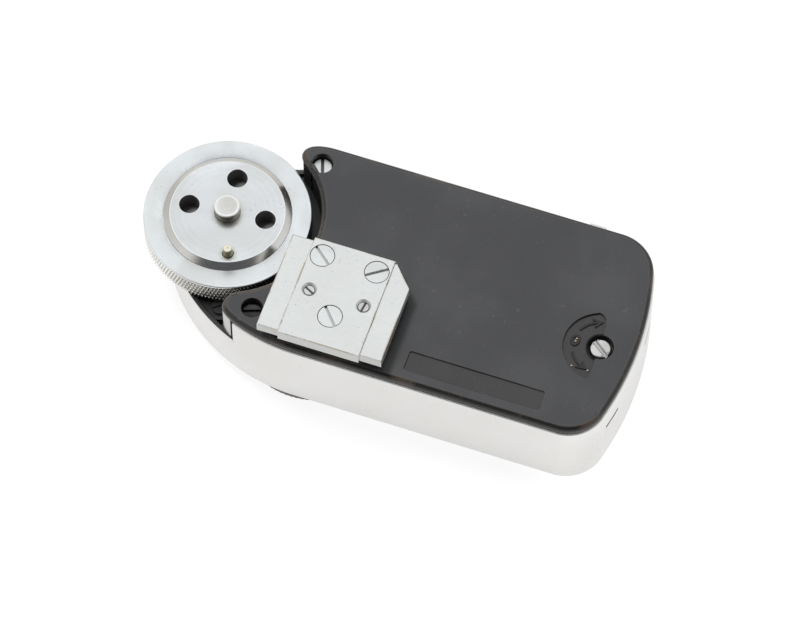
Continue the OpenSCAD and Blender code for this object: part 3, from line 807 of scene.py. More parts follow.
@dataclass(frozen=True)
class TurnedMetal(Finish):
    """Metal turned on a lathe: rings about the dial's axis in its tone, gloss and relief."""

    tint: Rgb
    deep: Rgb
    rough: float = 0.28
    rings: float = 14000.0
    strength: float = 0.25
    stain: Rgb = (0.50, 0.47, 0.40)
    stain_share: float = 0.25
    anisotropy: float = 0.0
    wear: float = 0.5
    painted_highlight: float = 1.12
    painted_highlight_share: float = 0.5
    grime_and_shade: float = 0.0
    halos: tuple = ()

    def marks(self, g: Graph, spot: Point) -> Given:
        """Turning marks about a plan point."""
        x, y = ((spot[k] + HOME[k]) * MM for k in range(2))
        return turning_marks(g, X=x, Y=y, Rings=self.rings)

    def dress(self, g: Graph) -> None:
        """Rings over a clouded tone, with specks, tarnish round fitted pins, worn edges brightened partly by
        wear and partly as painted highlight, and grime with painted shade in low places.
        """
        marks = self.marks(g, (0.0, 0.0))
        smudge = handling_marks(g, Scale=160.0)
        dust = dust_specks(g, Scale=2800.0, Amount=0.0)["Mask"]
        rub = edge_wear_and_painted_light(g, Amount=self.wear)
        both = g.total(0.0, (marks["Fine"], 0.6), (marks["Coarse"], 0.4))
        tone = g.tint(self.tint, g.smooth(both, 0.35, 0.65), 0.4, self.deep)
        tone = g.tint(tone, smudge["Broad"], self.stain_share, self.stain)
        for spot, inner, outer, colour in self.halos:
            far = g.smooth(self.marks(g, spot)["Radius"], inner * MM, outer * MM)
            cloud = g.total(0.15, (smudge["Fine"], 0.9), clamp=True)
            tone = g.tint(tone, g.minus(1.0, far), cloud, colour)
        tone = g.tint(tone, dust, 0.35, (0.25, 0.23, 0.20))
        # Worn edges brightened: partly burnished wear, partly painted highlight lines.
        painted_highlight = tuple(min(1.0, c * self.painted_highlight) for c in self.tint)
        tone = g.tint(tone, rub["Mask"], self.painted_highlight_share, painted_highlight)
        # Grime and painted shade: where the wear attribute is low, as in a knurl's grooves, the tone goes
        # dark.
        if self.grime_and_shade:
            low = g.minus(1.0, g.smooth(rub["Edge"], 0.02, 0.4))
            tone = g.tint(tone, low, self.grime_and_shade, (0.16, 0.15, 0.13))
        gloss = g.total(self.rough - 0.08, (both, 0.16), (smudge["Fine"], 0.06), clamp=True)
        others: dict[str, object] = {"Metallic": 1.0, "Anisotropic": self.anisotropy}
        if self.anisotropy:
            others["Tangent"] = g.add("Tangent", direction_type="RADIAL", axis="Z").outputs[0]
        self.settle(g, tone, gloss, both, self.strength, **others)


@dataclass(frozen=True)
class BlackMoulding(Finish):
    """Black satin moulding: clouded gloss, dust, hairlines, a brownish rubbed edge, and painted shade and
    highlight on its rounded edges.
    """

    tint: Rgb
    haze: Rgb
    bare_and_shaded: Rgb = (0.014, 0.0125, 0.011)
    wear: float = 0.5
    painted_edge_highlight: float = 0.35
    rough: float = 0.42
    rubbed: Rgb = (0.06, 0.045, 0.035)

    def dress(self, g: Graph) -> None:
        """Haze and dust over black, duller where it is hazy, smoother where an edge is rubbed, with painted
        shade and a painted highlight line on the edges.
        """
        smudge = handling_marks(g, Scale=70.0)
        dust = dust_specks(g, Scale=2700.0, Amount=0.0)["Mask"]
        fluff = dust_specks(g, Scale=900.0, Amount=0.0)["Mask"]
        hair = hairline_scratches(g, Scale=520.0, Amount=0.12)["Mask"]
        rub = edge_wear_and_painted_light(g, Amount=self.wear)
        edge = rub["Edge"]
        tone = g.tint(self.tint, smudge["Broad"], 0.5, self.haze)
        # The rounded edges and side go darker: painted shade for their reflection of dark surroundings, and
        # haze worn off.
        tone = g.mix(edge, tone, self.bare_and_shaded)
        tone = g.mix(rub["Mask"], tone, self.rubbed)
        # Painted highlight: a pale patchy line where the rounded edge meets the top.
        band = g.minus(g.smooth(edge, 0.1, 0.35), g.smooth(edge, 0.45, 0.75), clamp=True)
        patchy_highlight = g.times(band, g.plus(smudge["Fine"], 0.2))
        tone = g.tint(tone, patchy_highlight, self.painted_edge_highlight, (0.13, 0.128, 0.125))
        tone = g.tint(tone, hair, 0.12, (0.22, 0.215, 0.21))
        specks = g.math("MAXIMUM", dust, g.times(fluff, 0.7))
        tone = g.tint(tone, specks, 0.14, (0.30, 0.295, 0.285))
        sheen = ((smudge["Fine"], 0.12), (specks, 0.25), (edge, -0.18))
        gloss = g.total(self.rough - 0.06, *sheen, clamp=True)
        height = g.total(0.0, (g.noise(5200.0, detail=3.0), 0.6), (hair, -0.3))
        self.settle(g, tone, gloss, height, 0.10, Specular_IOR_Level=0.5)


@dataclass(frozen=True)
class Stock(Finish):
    """A plain material of an inner or small piece: clouded colour with grain in its gloss and relief."""

    tint: Rgb
    shade: Rgb
    rough: float
    metal: float
    grain: float
    relief: float
    specks: float

    def dress(self, g: Graph) -> None:
        """Two tones clouded together, specks, and fine grain."""
        smudge = handling_marks(g, Scale=240.0)
        dust = dust_specks(g, Scale=2600.0, Amount=self.specks)["Mask"]
        fine = g.noise(self.grain, detail=3.0)
        cloud = g.total(0.0, (smudge["Broad"], 0.6), (fine, 0.4))
        tone = g.tint(g.mix(cloud, self.tint, self.shade), dust, 0.4, (0.2, 0.18, 0.16))
        gloss = g.total(self.rough - 0.07, (cloud, 0.14), clamp=True)
        self.settle(g, tone, gloss, fine, self.relief, Metallic=self.metal)


@dataclass(frozen=True)
class ClearMoulding(Finish):
    """Clear plastic or glass, faintly tinted, with hairlines in its gloss."""

    tint: Rgb = (0.97, 0.98, 0.98)
    rough: float = 0.04
    seam: Rgb = (0.97, 0.98, 0.98)

    def dress(self, g: Graph) -> None:
        """A tinted clear body, duller by hairlines, smears and the seams of a lens net, with painted shade on
        those seams.
        """
        edge = edge_wear_and_painted_light(g, Amount=0.5)["Edge"]
        smear = handling_marks(g, Scale=150.0)["Broad"]
        hair = hairline_scratches(g, Scale=800.0, Amount=0.5)["Mask"]
        tone = g.mix(smear, self.tint, tuple(c * 0.97 for c in self.tint))
        gloss = g.total(self.rough, (smear, 0.05), (hair, 0.15), (edge, 0.2), clamp=True)
        self.settle(g, g.mix(edge, tone, self.seam), gloss, Transmission_Weight=1.0, IOR=1.49)


SATIN_CHROME = PlatedMetal("satin_chrome", (0.81, 0.805, 0.79), (0.73, 0.715, 0.69))
FOOT_CHROME = PlatedMetal(
    "foot_chrome", (0.865, 0.875, 0.855), (0.76, 0.765, 0.745), (0.50, 0.42, 0.31), rough=0.36, wear=0.56,
    grain_size=(1500.0, 9000.0, 9000.0), grain=0.14, grain_tone=0.3, hairlines=0.2, near_face_shade=0.6,
)
RETURN_STRIP = PlatedMetal(
    "return_strip", (0.66, 0.655, 0.64), (0.50, 0.49, 0.46), rough=0.34, grain=0.2,
    grain_size=(3500.0, 3500.0, 150.0),
)
BLACK_COVER = BlackMoulding("black_cover", (0.043, 0.043, 0.045), (0.074, 0.074, 0.076))
SUNK_BLACK = BlackMoulding("sunk_black", (0.034, 0.033, 0.033), (0.05, 0.048, 0.047))
BLACK_PIT = BlackMoulding("black_pit", (0.04, 0.04, 0.04), (0.06, 0.058, 0.056), wear=0.0, painted_edge_highlight=0.0)
# Painted shade: the raised marks are darker than the cover for the shadows round them.
SHADED_RAISED_MARK = BlackMoulding(
    "shaded_raised_mark", (0.012, 0.012, 0.012), (0.018, 0.018, 0.018), (0.012, 0.012, 0.012), wear=0.3, painted_edge_highlight=0.0
)
DIAL_FACE = TurnedMetal(
    "dial_face", (0.83, 0.85, 0.86), (0.74, 0.755, 0.76), 0.30, anisotropy=0.6,
    halos=(((0, 0), 1.9, 2.9, (0.60, 0.58, 0.52)), ((2.39, -6.42), 0.8, 1.6, (0.52, 0.56, 0.42))),
)
RING_FACE = TurnedMetal("ring_face", (0.875, 0.90, 0.905), (0.82, 0.84, 0.845), 0.36, strength=0.12)
# Knurl: grime and painted shade in the grooves, painted highlight on the peaks.
KNURL = TurnedMetal(
    "knurl", (0.86, 0.85, 0.82), (0.70, 0.68, 0.64), 0.20, strength=0.05, stain_share=0.2, grime_and_shade=0.9
)
# The bevel's worn edges carry strong painted highlight lines.
BEVEL = TurnedMetal(
    "bevel", (0.76, 0.745, 0.715), (0.63, 0.61, 0.58), 0.17, strength=0.05, stain_share=0.3, wear=1.2,
    painted_highlight=1.4, painted_highlight_share=0.9,
)
# Lit and shaded copies of one steel: the spindle's top with painted light and a painted highlight rim, its
# side with painted shade and brown tarnish.
SPINDLE_LIT_TOP = TurnedMetal(
    "spindle_lit_top", (0.89, 0.89, 0.875), (0.54, 0.53, 0.51), 0.26, rings=5000.0, strength=0.6,
    stain_share=0.5, wear=0.8, painted_highlight=1.15, painted_highlight_share=0.7,
)
SPINDLE_SHADED_SIDE = TurnedMetal("spindle_shaded_side", (0.24, 0.22, 0.19), (0.15, 0.135, 0.11), strength=0.05)
CLEAR_PANE = ClearMoulding("clear_pane")
# Painted shade: the lens net's seams are tinted grey.
HONEYCOMB = ClearMoulding("honeycomb", (0.95, 0.965, 0.97), 0.06, (0.30, 0.32, 0.33))
# Stock: two tones, roughness, metal, grain, relief and specks
BLACKENED = Stock("blackened_steel", (0.085, 0.083, 0.08), (0.025, 0.025, 0.025), 0.2, 1.0, 2500.0, 0.6, 0.0)
GILT = Stock("gilt_trace", (0.70, 0.58, 0.34), (0.55, 0.42, 0.20), 0.4, 0.4, 5000.0, 0.2, 0.05)
REVEAL = Stock("slot_reveal", (0.84, 0.83, 0.80), (0.76, 0.75, 0.71), 0.5, 0.0, 4000.0, 0.1, 0.05)
BAY_BLACK = Stock("bay_black", (0.08, 0.08, 0.08), (0.11, 0.109, 0.108), 0.45, 1.0, 3000.0, 0.1, 0.0)
# Painted shade for the insides of holes and bores.
HOLE_SHADE = Stock("hole_shade", (0.135, 0.133, 0.132), (0.17, 0.167, 0.163), 0.35, 0.0, 3000.0, 0.1, 0.1)
STEEL = Stock("screw_steel", (0.62, 0.615, 0.60), (0.47, 0.46, 0.44), 0.32, 1.0, 5000.0, 0.2, 0.1)
# Painted shade: dark steel for slot floors and for the calculator's edge in the shadow under the case.
SHADED_STEEL = Stock("shaded_steel", (0.20, 0.19, 0.18), (0.11, 0.105, 0.10), 0.4, 1.0, 5000.0, 0.2, 0.1)
BRIGHT_STEEL = Stock("bright_steel", (0.74, 0.735, 0.72), (0.58, 0.57, 0.55), 0.26, 1.0, 5000.0, 0.2, 0.08)
FOOT_SCREW = Stock("foot_screw", (0.84, 0.85, 0.835), (0.74, 0.745, 0.73), 0.34, 1.0, 5000.0, 0.2, 0.08)
BLUE_STEEL = Stock("blue_steel", (0.28, 0.34, 0.44), (0.20, 0.25, 0.34), 0.3, 1.0, 5000.0, 0.1, 0.04)
BRASS = Stock("brass", (0.66, 0.49, 0.22), (0.50, 0.36, 0.15), 0.33, 1.0, 4000.0, 0.2, 0.1)
# Lit and shaded copies of one brass: painted highlight on the pale top, painted shade and olive tarnish on
# the side.
PIN_LIT_TOP = Stock("pin_lit_top", (0.96, 0.92, 0.78), (0.86, 0.80, 0.63), 0.30, 1.0, 5000.0, 0.2, 0.1)
PIN_SHADED_SIDE = Stock("pin_shaded_side", (0.50, 0.45, 0.32), (0.30, 0.26, 0.17), 0.34, 1.0, 5000.0, 0.2, 0.1)
SOFT_IRON = Stock("soft_iron", (0.24, 0.24, 0.25), (0.16, 0.16, 0.165), 0.45, 1.0, 4000.0, 0.2, 0.1)
FRAME_ALLOY = Stock("frame_alloy", (0.55, 0.55, 0.54), (0.44, 0.44, 0.43), 0.42, 1.0, 4000.0, 0.2, 0.08)
COPPER = Stock("coil_copper", (0.58, 0.25, 0.12), (0.44, 0.18, 0.08), 0.38, 1.0, 9000.0, 0.4, 0.04)
PALE_PLATE = Stock("dial_print", (0.74, 0.74, 0.72), (0.66, 0.66, 0.64), 0.42, 0.6, 6000.0, 0.15, 0.06)
INK_BLACK = Stock("ink_black", (0.02, 0.02, 0.02), (0.04, 0.04, 0.04), 0.5, 0.0, 5000.0, 0.1, 0.02)
INK_WHITE = Stock("ink_white", (0.80, 0.79, 0.75), (0.72, 0.71, 0.67), 0.5, 0.0, 5000.0, 0.1, 0.02)
INK_RED = Stock("ink_red", (0.55, 0.05, 0.03), (0.45, 0.04, 0.03), 0.5, 0.0, 5000.0, 0.1, 0.02)
NEEDLE_RED = Stock("needle_red", (0.62, 0.07, 0.03), (0.50, 0.05, 0.03), 0.4, 0.0, 5000.0, 0.1, 0.02)
SPEED_BLACK = Stock("speed_disc", (0.022, 0.022, 0.024), (0.035, 0.035, 0.036), 0.5, 0.0, 4000.0, 0.12, 0.1)
SCALE_CREAM = Stock("scale_white", (0.78, 0.76, 0.70), (0.72, 0.70, 0.63), 0.55, 0.0, 3000.0, 0.08, 0.06)
SELENIUM = Stock("selenium", (0.10, 0.09, 0.11), (0.065, 0.06, 0.075), 0.35, 0.4, 5000.0, 0.15, 0.05)
JEWEL = Stock("jewel", (0.50, 0.03, 0.06), (0.38, 0.02, 0.05), 0.15, 0.0, 5000.0, 0.05, 0.0)
BOARD = Stock("board", (0.20, 0.11, 0.055), (0.14, 0.075, 0.04), 0.5, 0.0, 3500.0, 0.2, 0.08)
RESISTOR = Stock("resistor_body", (0.22, 0.09, 0.05), (0.16, 0.065, 0.04), 0.42, 0.0, 4000.0, 0.15, 0.06)
SLEEVE = Stock("lead_sleeve", (0.28, 0.03, 0.03), (0.20, 0.025, 0.03), 0.5, 0.0, 7000.0, 0.3, 0.05)


# Plan and levels of the case


def floor_of(node: str) -> float:
    """Height of a CAD node's underside, in millimetres."""
    return round(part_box(node)[0][2] / MM, 4)


def top_of(node: str) -> float:
    """Height of a CAD node's top, in millimetres."""
    return round(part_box(node)[1][2] / MM, 4)


PLATE_Z = floor_of("case_shell")
RIM_Z = top_of("case_shell")
COVER_Z = top_of("base_cover")
LAND_Z = top_of("shoe_foot")
WALL = 0.8
# The needle's pane, the calculator's axis and the heights of the cell's window
PANE = ((33.0, -6.0), (57.5, 9.0))
PANE_R = 1.5
CALCULATOR_AT = (15.9994, -7.0899)
CELL_Z = (3.9, 12.7)


@dataclass(frozen=True)
class CasePlan:
    """Plan of the case and of its cover, from the dial's axis."""

    front_y: float = 13.9
    end_c: tuple = (15.05, -2.5)
    end_r: float = 47.99
    near_c: tuple = (55.7307, -12.95)
    near_r: float = 6.0
    far_c: tuple = (55.3522, 7.4)
    far_r: float = 6.5
    nose_c: tuple = (16.5, 8.55)
    nose_r: float = 27.5
    nose_join: float = 196.5
    tip_r: float = 9.9
    shoulder: float = 18.0
    near_step_x: float = 6.9
    far_step_x: float = 7.2
    cut_c: tuple = (0.5, -0.3)
    cut_r: float = 13.3
    cut_span: tuple = (52.0, -65.0)
    horn_x: float = 7.6
    slots_y: tuple = (-11.85, 2.55)
    slot_len: float = 3.4
    slots_past_x: float = 60.0
    window_x: tuple = (15.0, 53.5)
    seam: float = 0.22
    lap: float = 0.62

    def end_angle(self, y: float) -> float:
        """Angle on the bowed end at a Y, in degrees."""
        return math.degrees(math.asin((y - self.end_c[1]) / self.end_r))

    def nose_angle(self, x: float, inset: float = 0.0) -> float:
        """Angle on the nose's arc at an X, in degrees."""
        return 180 + math.degrees(math.acos((self.nose_c[0] - x) / (self.nose_r - inset)))

    def corner(self, centre: tuple) -> float:
        """Angle at which a corner's arc meets the bowed end, in degrees."""
        return math.degrees(math.atan2(centre[1] - self.end_c[1], centre[0] - self.end_c[0]))

    def right_side(self, inset: float = 0.0, lap: float = 0.0) -> list[np.ndarray]:
        """Near corner, bowed end broken at its slots, and far corner.

        Args:
            inset: how far the run stands in from the case's outline.
            lap: how far the far corner stands out over the front wall.

        Returns:
            The runs in order.
        """
        far_y = self.far_c[1] + lap
        run = math.sqrt((self.end_r - self.far_r) ** 2 - (far_y - self.end_c[1]) ** 2)
        far_c = (self.end_c[0] + run, far_y)
        near, far = self.corner(self.near_c), self.corner(far_c)
        half = self.slot_len / 2
        breaks = [near, *(self.end_angle(y + s) for y in self.slots_y for s in (-half, half)), far]
        bow = [arc(self.end_c, self.end_r - inset, a, b, 0.3) for a, b in zip(breaks[:-1], breaks[1:])]
        first = arc(self.near_c, self.near_r - inset, -90, near)
        return [first, *bow, arc(far_c, self.far_r - inset, far, 90)]

    def outline(self) -> np.ndarray:
        """The case's outline, from the step beside the near horn round to the same place."""
        tip = polar((0, 0), self.tip_r, 90 + self.shoulder)
        slope = math.tan(math.radians(self.shoulder))
        front_x = tip[0] + (self.front_y - tip[1]) / slope
        far_step = (self.far_step_x, tip[1] + (self.far_step_x - tip[0]) * slope)
        meet = polar(self.nose_c, self.nose_r, self.nose_join)
        step = self.nose_angle(self.near_step_x)
        front = [(x, self.front_y) for x in (*self.window_x[::-1], front_x)]
        loop = closed(
            arc(self.nose_c, self.nose_r, step, 270, 0.3),
            *self.right_side(),
            np.array([*front, far_step]),
            arc((0, 0), self.tip_r, 90 + self.shoulder, math.degrees(math.atan2(meet[1], meet[0])), 0.3),
            arc(self.nose_c, self.nose_r, self.nose_join, step, 0.3),
        )
        away = np.linalg.norm(loop - polar(self.nose_c, self.nose_r, step), axis=1)
        return np.roll(loop, -int(np.argmin(away)), 0)

    def near_horn(self) -> np.ndarray:
        """Edge of the cover's near horn, from the dial's cut-out to the nose."""
        inner = bezier((6.12, -12.35), (5.55, -12.61), (4.58, -13.55), (4.62, -14.9))
        outer = bezier((4.62, -14.9), (4.62, -16.0), (6.37, -16.82), (self.horn_x, -17.237))
        return np.concatenate([inner, outer[1:]])

    def cover(self) -> np.ndarray:
        """The cover's outline, with the dial's cut-out between its two horns."""
        start = self.nose_angle(self.horn_x, self.seam)
        return closed(
            arc(self.nose_c, self.nose_r - self.seam, start, 270, 0.3),
            *self.right_side(self.seam, self.lap),
            bezier((11.8, 14.3), (9.6, 14.3), (7.25, 13.75), (7.22, 12.0)),
            bezier((7.22, 12.0), (7.22, 11.4), (7.9, 10.8), (8.69, 10.18), 12),
            arc(self.cut_c, self.cut_r, *self.cut_span, 0.2),
            self.near_horn(),
        )


PLAN = CasePlan()


# Screws


def slot_lands(at: Point, radius: float, slot: float, angle: float, step: float) -> list[np.ndarray]:
    """The two parts of a round head beside its slot, as loops.

    Args:
        at: middle of the head.
        radius: its radius.
        slot: the slot's width.
        angle: the slot's angle in degrees.
        step: greatest distance between points of the round edge.

    Returns:
        The two loops.
    """
    lap = math.degrees(math.asin(slot / 2 / radius))
    arcs = (arc((0, 0), radius, lap + side, 180 - lap + side, step) for side in (0, 180))
    return [turned(closed(run, step=0.2), angle) + np.asarray(at) for run in arcs]


@dataclass(frozen=True)
class SlottedScrew:
    """A screw with a straight slot across its flat head."""

    at: Point
    radius: float
    top: float
    angle: float
    head: float
    shank_r: float
    tip: float
    slot: float = 0.45
    depth: float = 0.45
    edge: float = 0.07

    def add(self, surface: Surface, finish: int, slot_finish: int) -> None:
        """Adds the shank, the head up to the slot's floor, and the two lands beside the slot."""
        r, s, floor, under = self.radius, self.shank_r, self.top - self.depth, self.top - self.head
        shank = [[0, self.tip], [s, self.tip], [s, under], [r, under], [r, floor]]
        surface.lathe(self.at, shank, 72, finish=finish)
        surface.cap([circle(self.at, r, 72)], floor, finish=slot_finish)
        profile, wear = eased_wall(floor, self.top, self.edge, 3)
        for land in slot_lands(self.at, r, self.slot, self.angle, 0.08):
            surface.wall(land, profile, wear=wear, finish=finish)
            surface.cap([grown(land, -profile[-1, 0])], self.top, finish=finish)


# Coupling dial


@dataclass(frozen=True)
class CouplingDial:
    """The knurled ring, its bevelled disc, the steel spindle and the brass driving pin."""

    ring_r: float = 12.18
    ring_z: float = floor_of("knurled_ring")
    ring_top: float = top_of("knurled_ring") + 0.2
    ring_edge: float = 0.22
    face_z: float = top_of("coupling_disc") - 0.14
    ridges: int = 144
    rows_high: float = 1.5
    knurl: float = 0.36
    plain: float = 0.45
    rim: float = 0.3
    bevel_r: float = 9.27
    bevel_wide: float = 0.96
    spindle_r: float = 1.88
    shaft_r: float = 1.5
    hole_r: float = 1.47
    hole_ring: float = 5.65
    hole_angles: tuple = (5, 95, 186)
    hole_deep: float = 2.9
    pin_ring: float = 6.85
    pin_angle: float = -69.6
    spring_wire: float = 0.12
    spring_r: float = 0.7
    spring_turns: int = 3

    @property
    def face_r(self) -> float:
        """Radius of the disc's flat face."""
        return self.bevel_r - self.bevel_wide

    @property
    def pin_at(self) -> np.ndarray:
        """Plan place of the driving pin."""
        return polar((0, 0), self.pin_ring, self.pin_angle)

    def knurled_ring(self) -> None:
        """The ring, knurled in diamonds.

        The knurl's height over angle and height is the lower of two triangle waves that lean
        to either side, so that grooves cross and pyramids stand between them. It fades out
        into a plain rim above, and runs out over the lower edge.
        """
        r, top, well_r = self.ring_r, self.ring_top, self.bevel_r + 0.04
        low, high = self.ring_z + 0.08, top - self.rim
        z = np.linspace(low, high, 34)
        around = np.arange(self.ridges * 8) / 8
        along = (z - low) / self.rows_high
        waves = [1 - np.abs(2 * ((around[None] + s * along[:, None]) % 1) - 1) for s in (1, -1)]
        height = np.clip(1.6 * np.minimum(*waves), 0, 1)
        fade = np.clip((high - z) / 0.12, 0, 1)[:, None]
        radius = r - self.knurl * (1 - height) * fade - self.knurl * self.plain * (1 - fade)
        ring = ring_of(len(around))
        band = raised(radius[:, :, None] * ring[None], z)
        under = spun(np.array([[self.bevel_r + 1.02, self.ring_z], [r - 0.55, self.ring_z]]), ring)
        # The knurl's height is its wear: painted highlight on the peaks, grime and painted shade in the
        # grooves.
        surface = Surface().grid(band, wear=height * fade)
        surface.grid(np.concatenate([under, band[:1]]), wear=0.3)
        edge = turned_edge(r, self.ring_edge, top)
        rim = np.concatenate([[[r - self.knurl * self.plain, high], [r, high + 0.06]], edge])
        flat = np.array([edge[-1], [r - 0.5, top], [self.bevel_r + 0.12, top]])
        well = np.array([flat[-1], [well_r, top - 0.06], [well_r, top - 0.9]])
        # Wear 1 on the rim and on the well's edge paints highlight lines there, besides marking wear.
        for profile, worn in ((rim, 1.0), (flat, 0.0), (well, 1.0)):
            surface.grid(spun(profile, ring), wear=worn, finish=1)
        surface.build("dial_ring", Body.DIAL, "dial_alloy", [KNURL, RING_FACE], ["knurled_ring"])

    def disc(self) -> None:
        """The disc: a bevel with eased edges, and a face with three dark holes and two fitted pins."""
        z, count = self.face_z, 256
        start, stop = np.array([[self.bevel_r, self.ring_top], [self.face_r, z]])
        slope = start + np.array([[0.0], [0.06], [0.1], [0.9], [0.94], [0.98]]) * (stop - start)
        bevel = np.concatenate([[[self.bevel_r, self.ring_top - 1.2]], slope, [[self.face_r - 0.06, z]]])
        # The wear values mark the bevel's edges, where the finish paints highlight lines as well as wear.
        surface = Surface().lathe((0, 0), bevel, count, [0, 1, 0.3, 0, 0, 0.5, 1, 1], 1)
        holes = [circle((0, 0), bevel[-1, 0], count)]
        for angle in self.hole_angles:
            hole = circle(polar((0, 0), self.hole_ring, angle), self.hole_r, 80)
            holes.append(surface.pit(hole, z, z - self.hole_deep, 0.09, 1, 2, 1.0))
        holes.append(surface.pit(circle((0, 0), self.spindle_r + 0.02, 80), z, z - 0.3, 0.02, 0, 2))
        holes.append(surface.pit(circle(self.pin_at, 0.84, 48), z, z - 1.3, 0.04, 0, 2))
        surface.cap(holes, z)
        finishes = [DIAL_FACE, BEVEL, HOLE_SHADE]
        surface.build("dial_disc", Body.DIAL, "dial_alloy", finishes, ["coupling_disc"])

    def spindle(self) -> None:
        """The spindle: a shaft through the disc, and a turned free end with an eased edge."""
        low, top = floor_of("dial_spindle"), top_of("dial_spindle") - 0.1
        r, s, step = self.spindle_r, self.shaft_r, self.ring_z + 0.8
        edge = turned_edge(r, 0.15, top - 0.02)
        shaft = [[0, low], [s, low], [s, step], [r, step], [r, self.face_z], edge[0]]
        # The side takes the shaded copy, the top and its rim the lit copy.
        surface = Surface().lathe((0, 0), shaft, finish=1)
        face = np.concatenate([edge, [[r * 0.6, top - 0.008], [0, top]]])
        surface.lathe((0, 0), face, wear=np.r_[np.ones(len(edge)), 0.0, 0.0])
        finishes = [SPINDLE_LIT_TOP, SPINDLE_SHADED_SIDE]
        surface.build("dial_spindle_post", Body.DIAL, "screw_steel", finishes, ["dial_spindle"])

    def driving_pin(self) -> None:
        """The pin: flange, guide tapering to a narrower nose, and a flat end with a centre mark."""
        low, top, z = floor_of("coupling_pin"), top_of("coupling_pin") - 0.3, self.face_z
        flange = [[0, low], [1.0, low], [1.0, low + 0.38], [0.76, low + 0.38]]
        guide = [[0.76, z + 0.3], [0.63, z + 0.62], [0.61, top - 0.09]]
        nose = [guide[-1], [0.585, top - 0.03], [0.55, top]]
        mark = [[0.17, top], [0.12, top - 0.07], [0, top - 0.07]]
        # Flange and guide take the shaded copy, nose and end the lit copy.
        surface = Surface().lathe(self.pin_at, flange + guide, 64, finish=1)
        surface.lathe(self.pin_at, nose + mark, 64)
        surface.build("driving_pin_post", Body.PIN, "brass", [PIN_LIT_TOP, PIN_SHADED_SIDE], ["coupling_pin"])

    def spring(self) -> None:
        """The coil spring under the pin, from the pin down into the dial, baked in place and attached to
        neither body.
        """
        wire, turns = self.spring_wire, self.spring_turns
        low, high = floor_of("pin_spring") + wire, floor_of("coupling_pin") - wire - 0.01
        out = np.pad(unit(np.linspace(0, 360 * turns, 32 * turns + 1)), ((0, 0), (0, 1)))
        middle = np.array([*self.pin_at, 0]) + self.spring_r * out
        middle[:, 2] = np.linspace(low, high, len(out))
        c, s = ring_of(12).T[:, None, :, None]
        tube = middle[:, None] + wire * (c * out[:, None] - s * np.array([0, 0, 1.0]))
        ends = [np.broadcast_to(middle[k], tube[:1].shape) for k in (0, -1)]
        surface = Surface().grid(np.concatenate([ends[0], tube, ends[1]]))
        onto = (Body.DIAL, (*self.pin_at, high), (*self.pin_at, low))
        surface.build("pin_coil", Body.PIN, "screw_steel", [STEEL], ["pin_spring"], onto)

    def make(self) -> None:
        """Builds the dial's pieces."""
        self.knurled_ring()
        self.spring()
        self.disc()
        self.spindle()
        self.driving_pin()


# Base cover


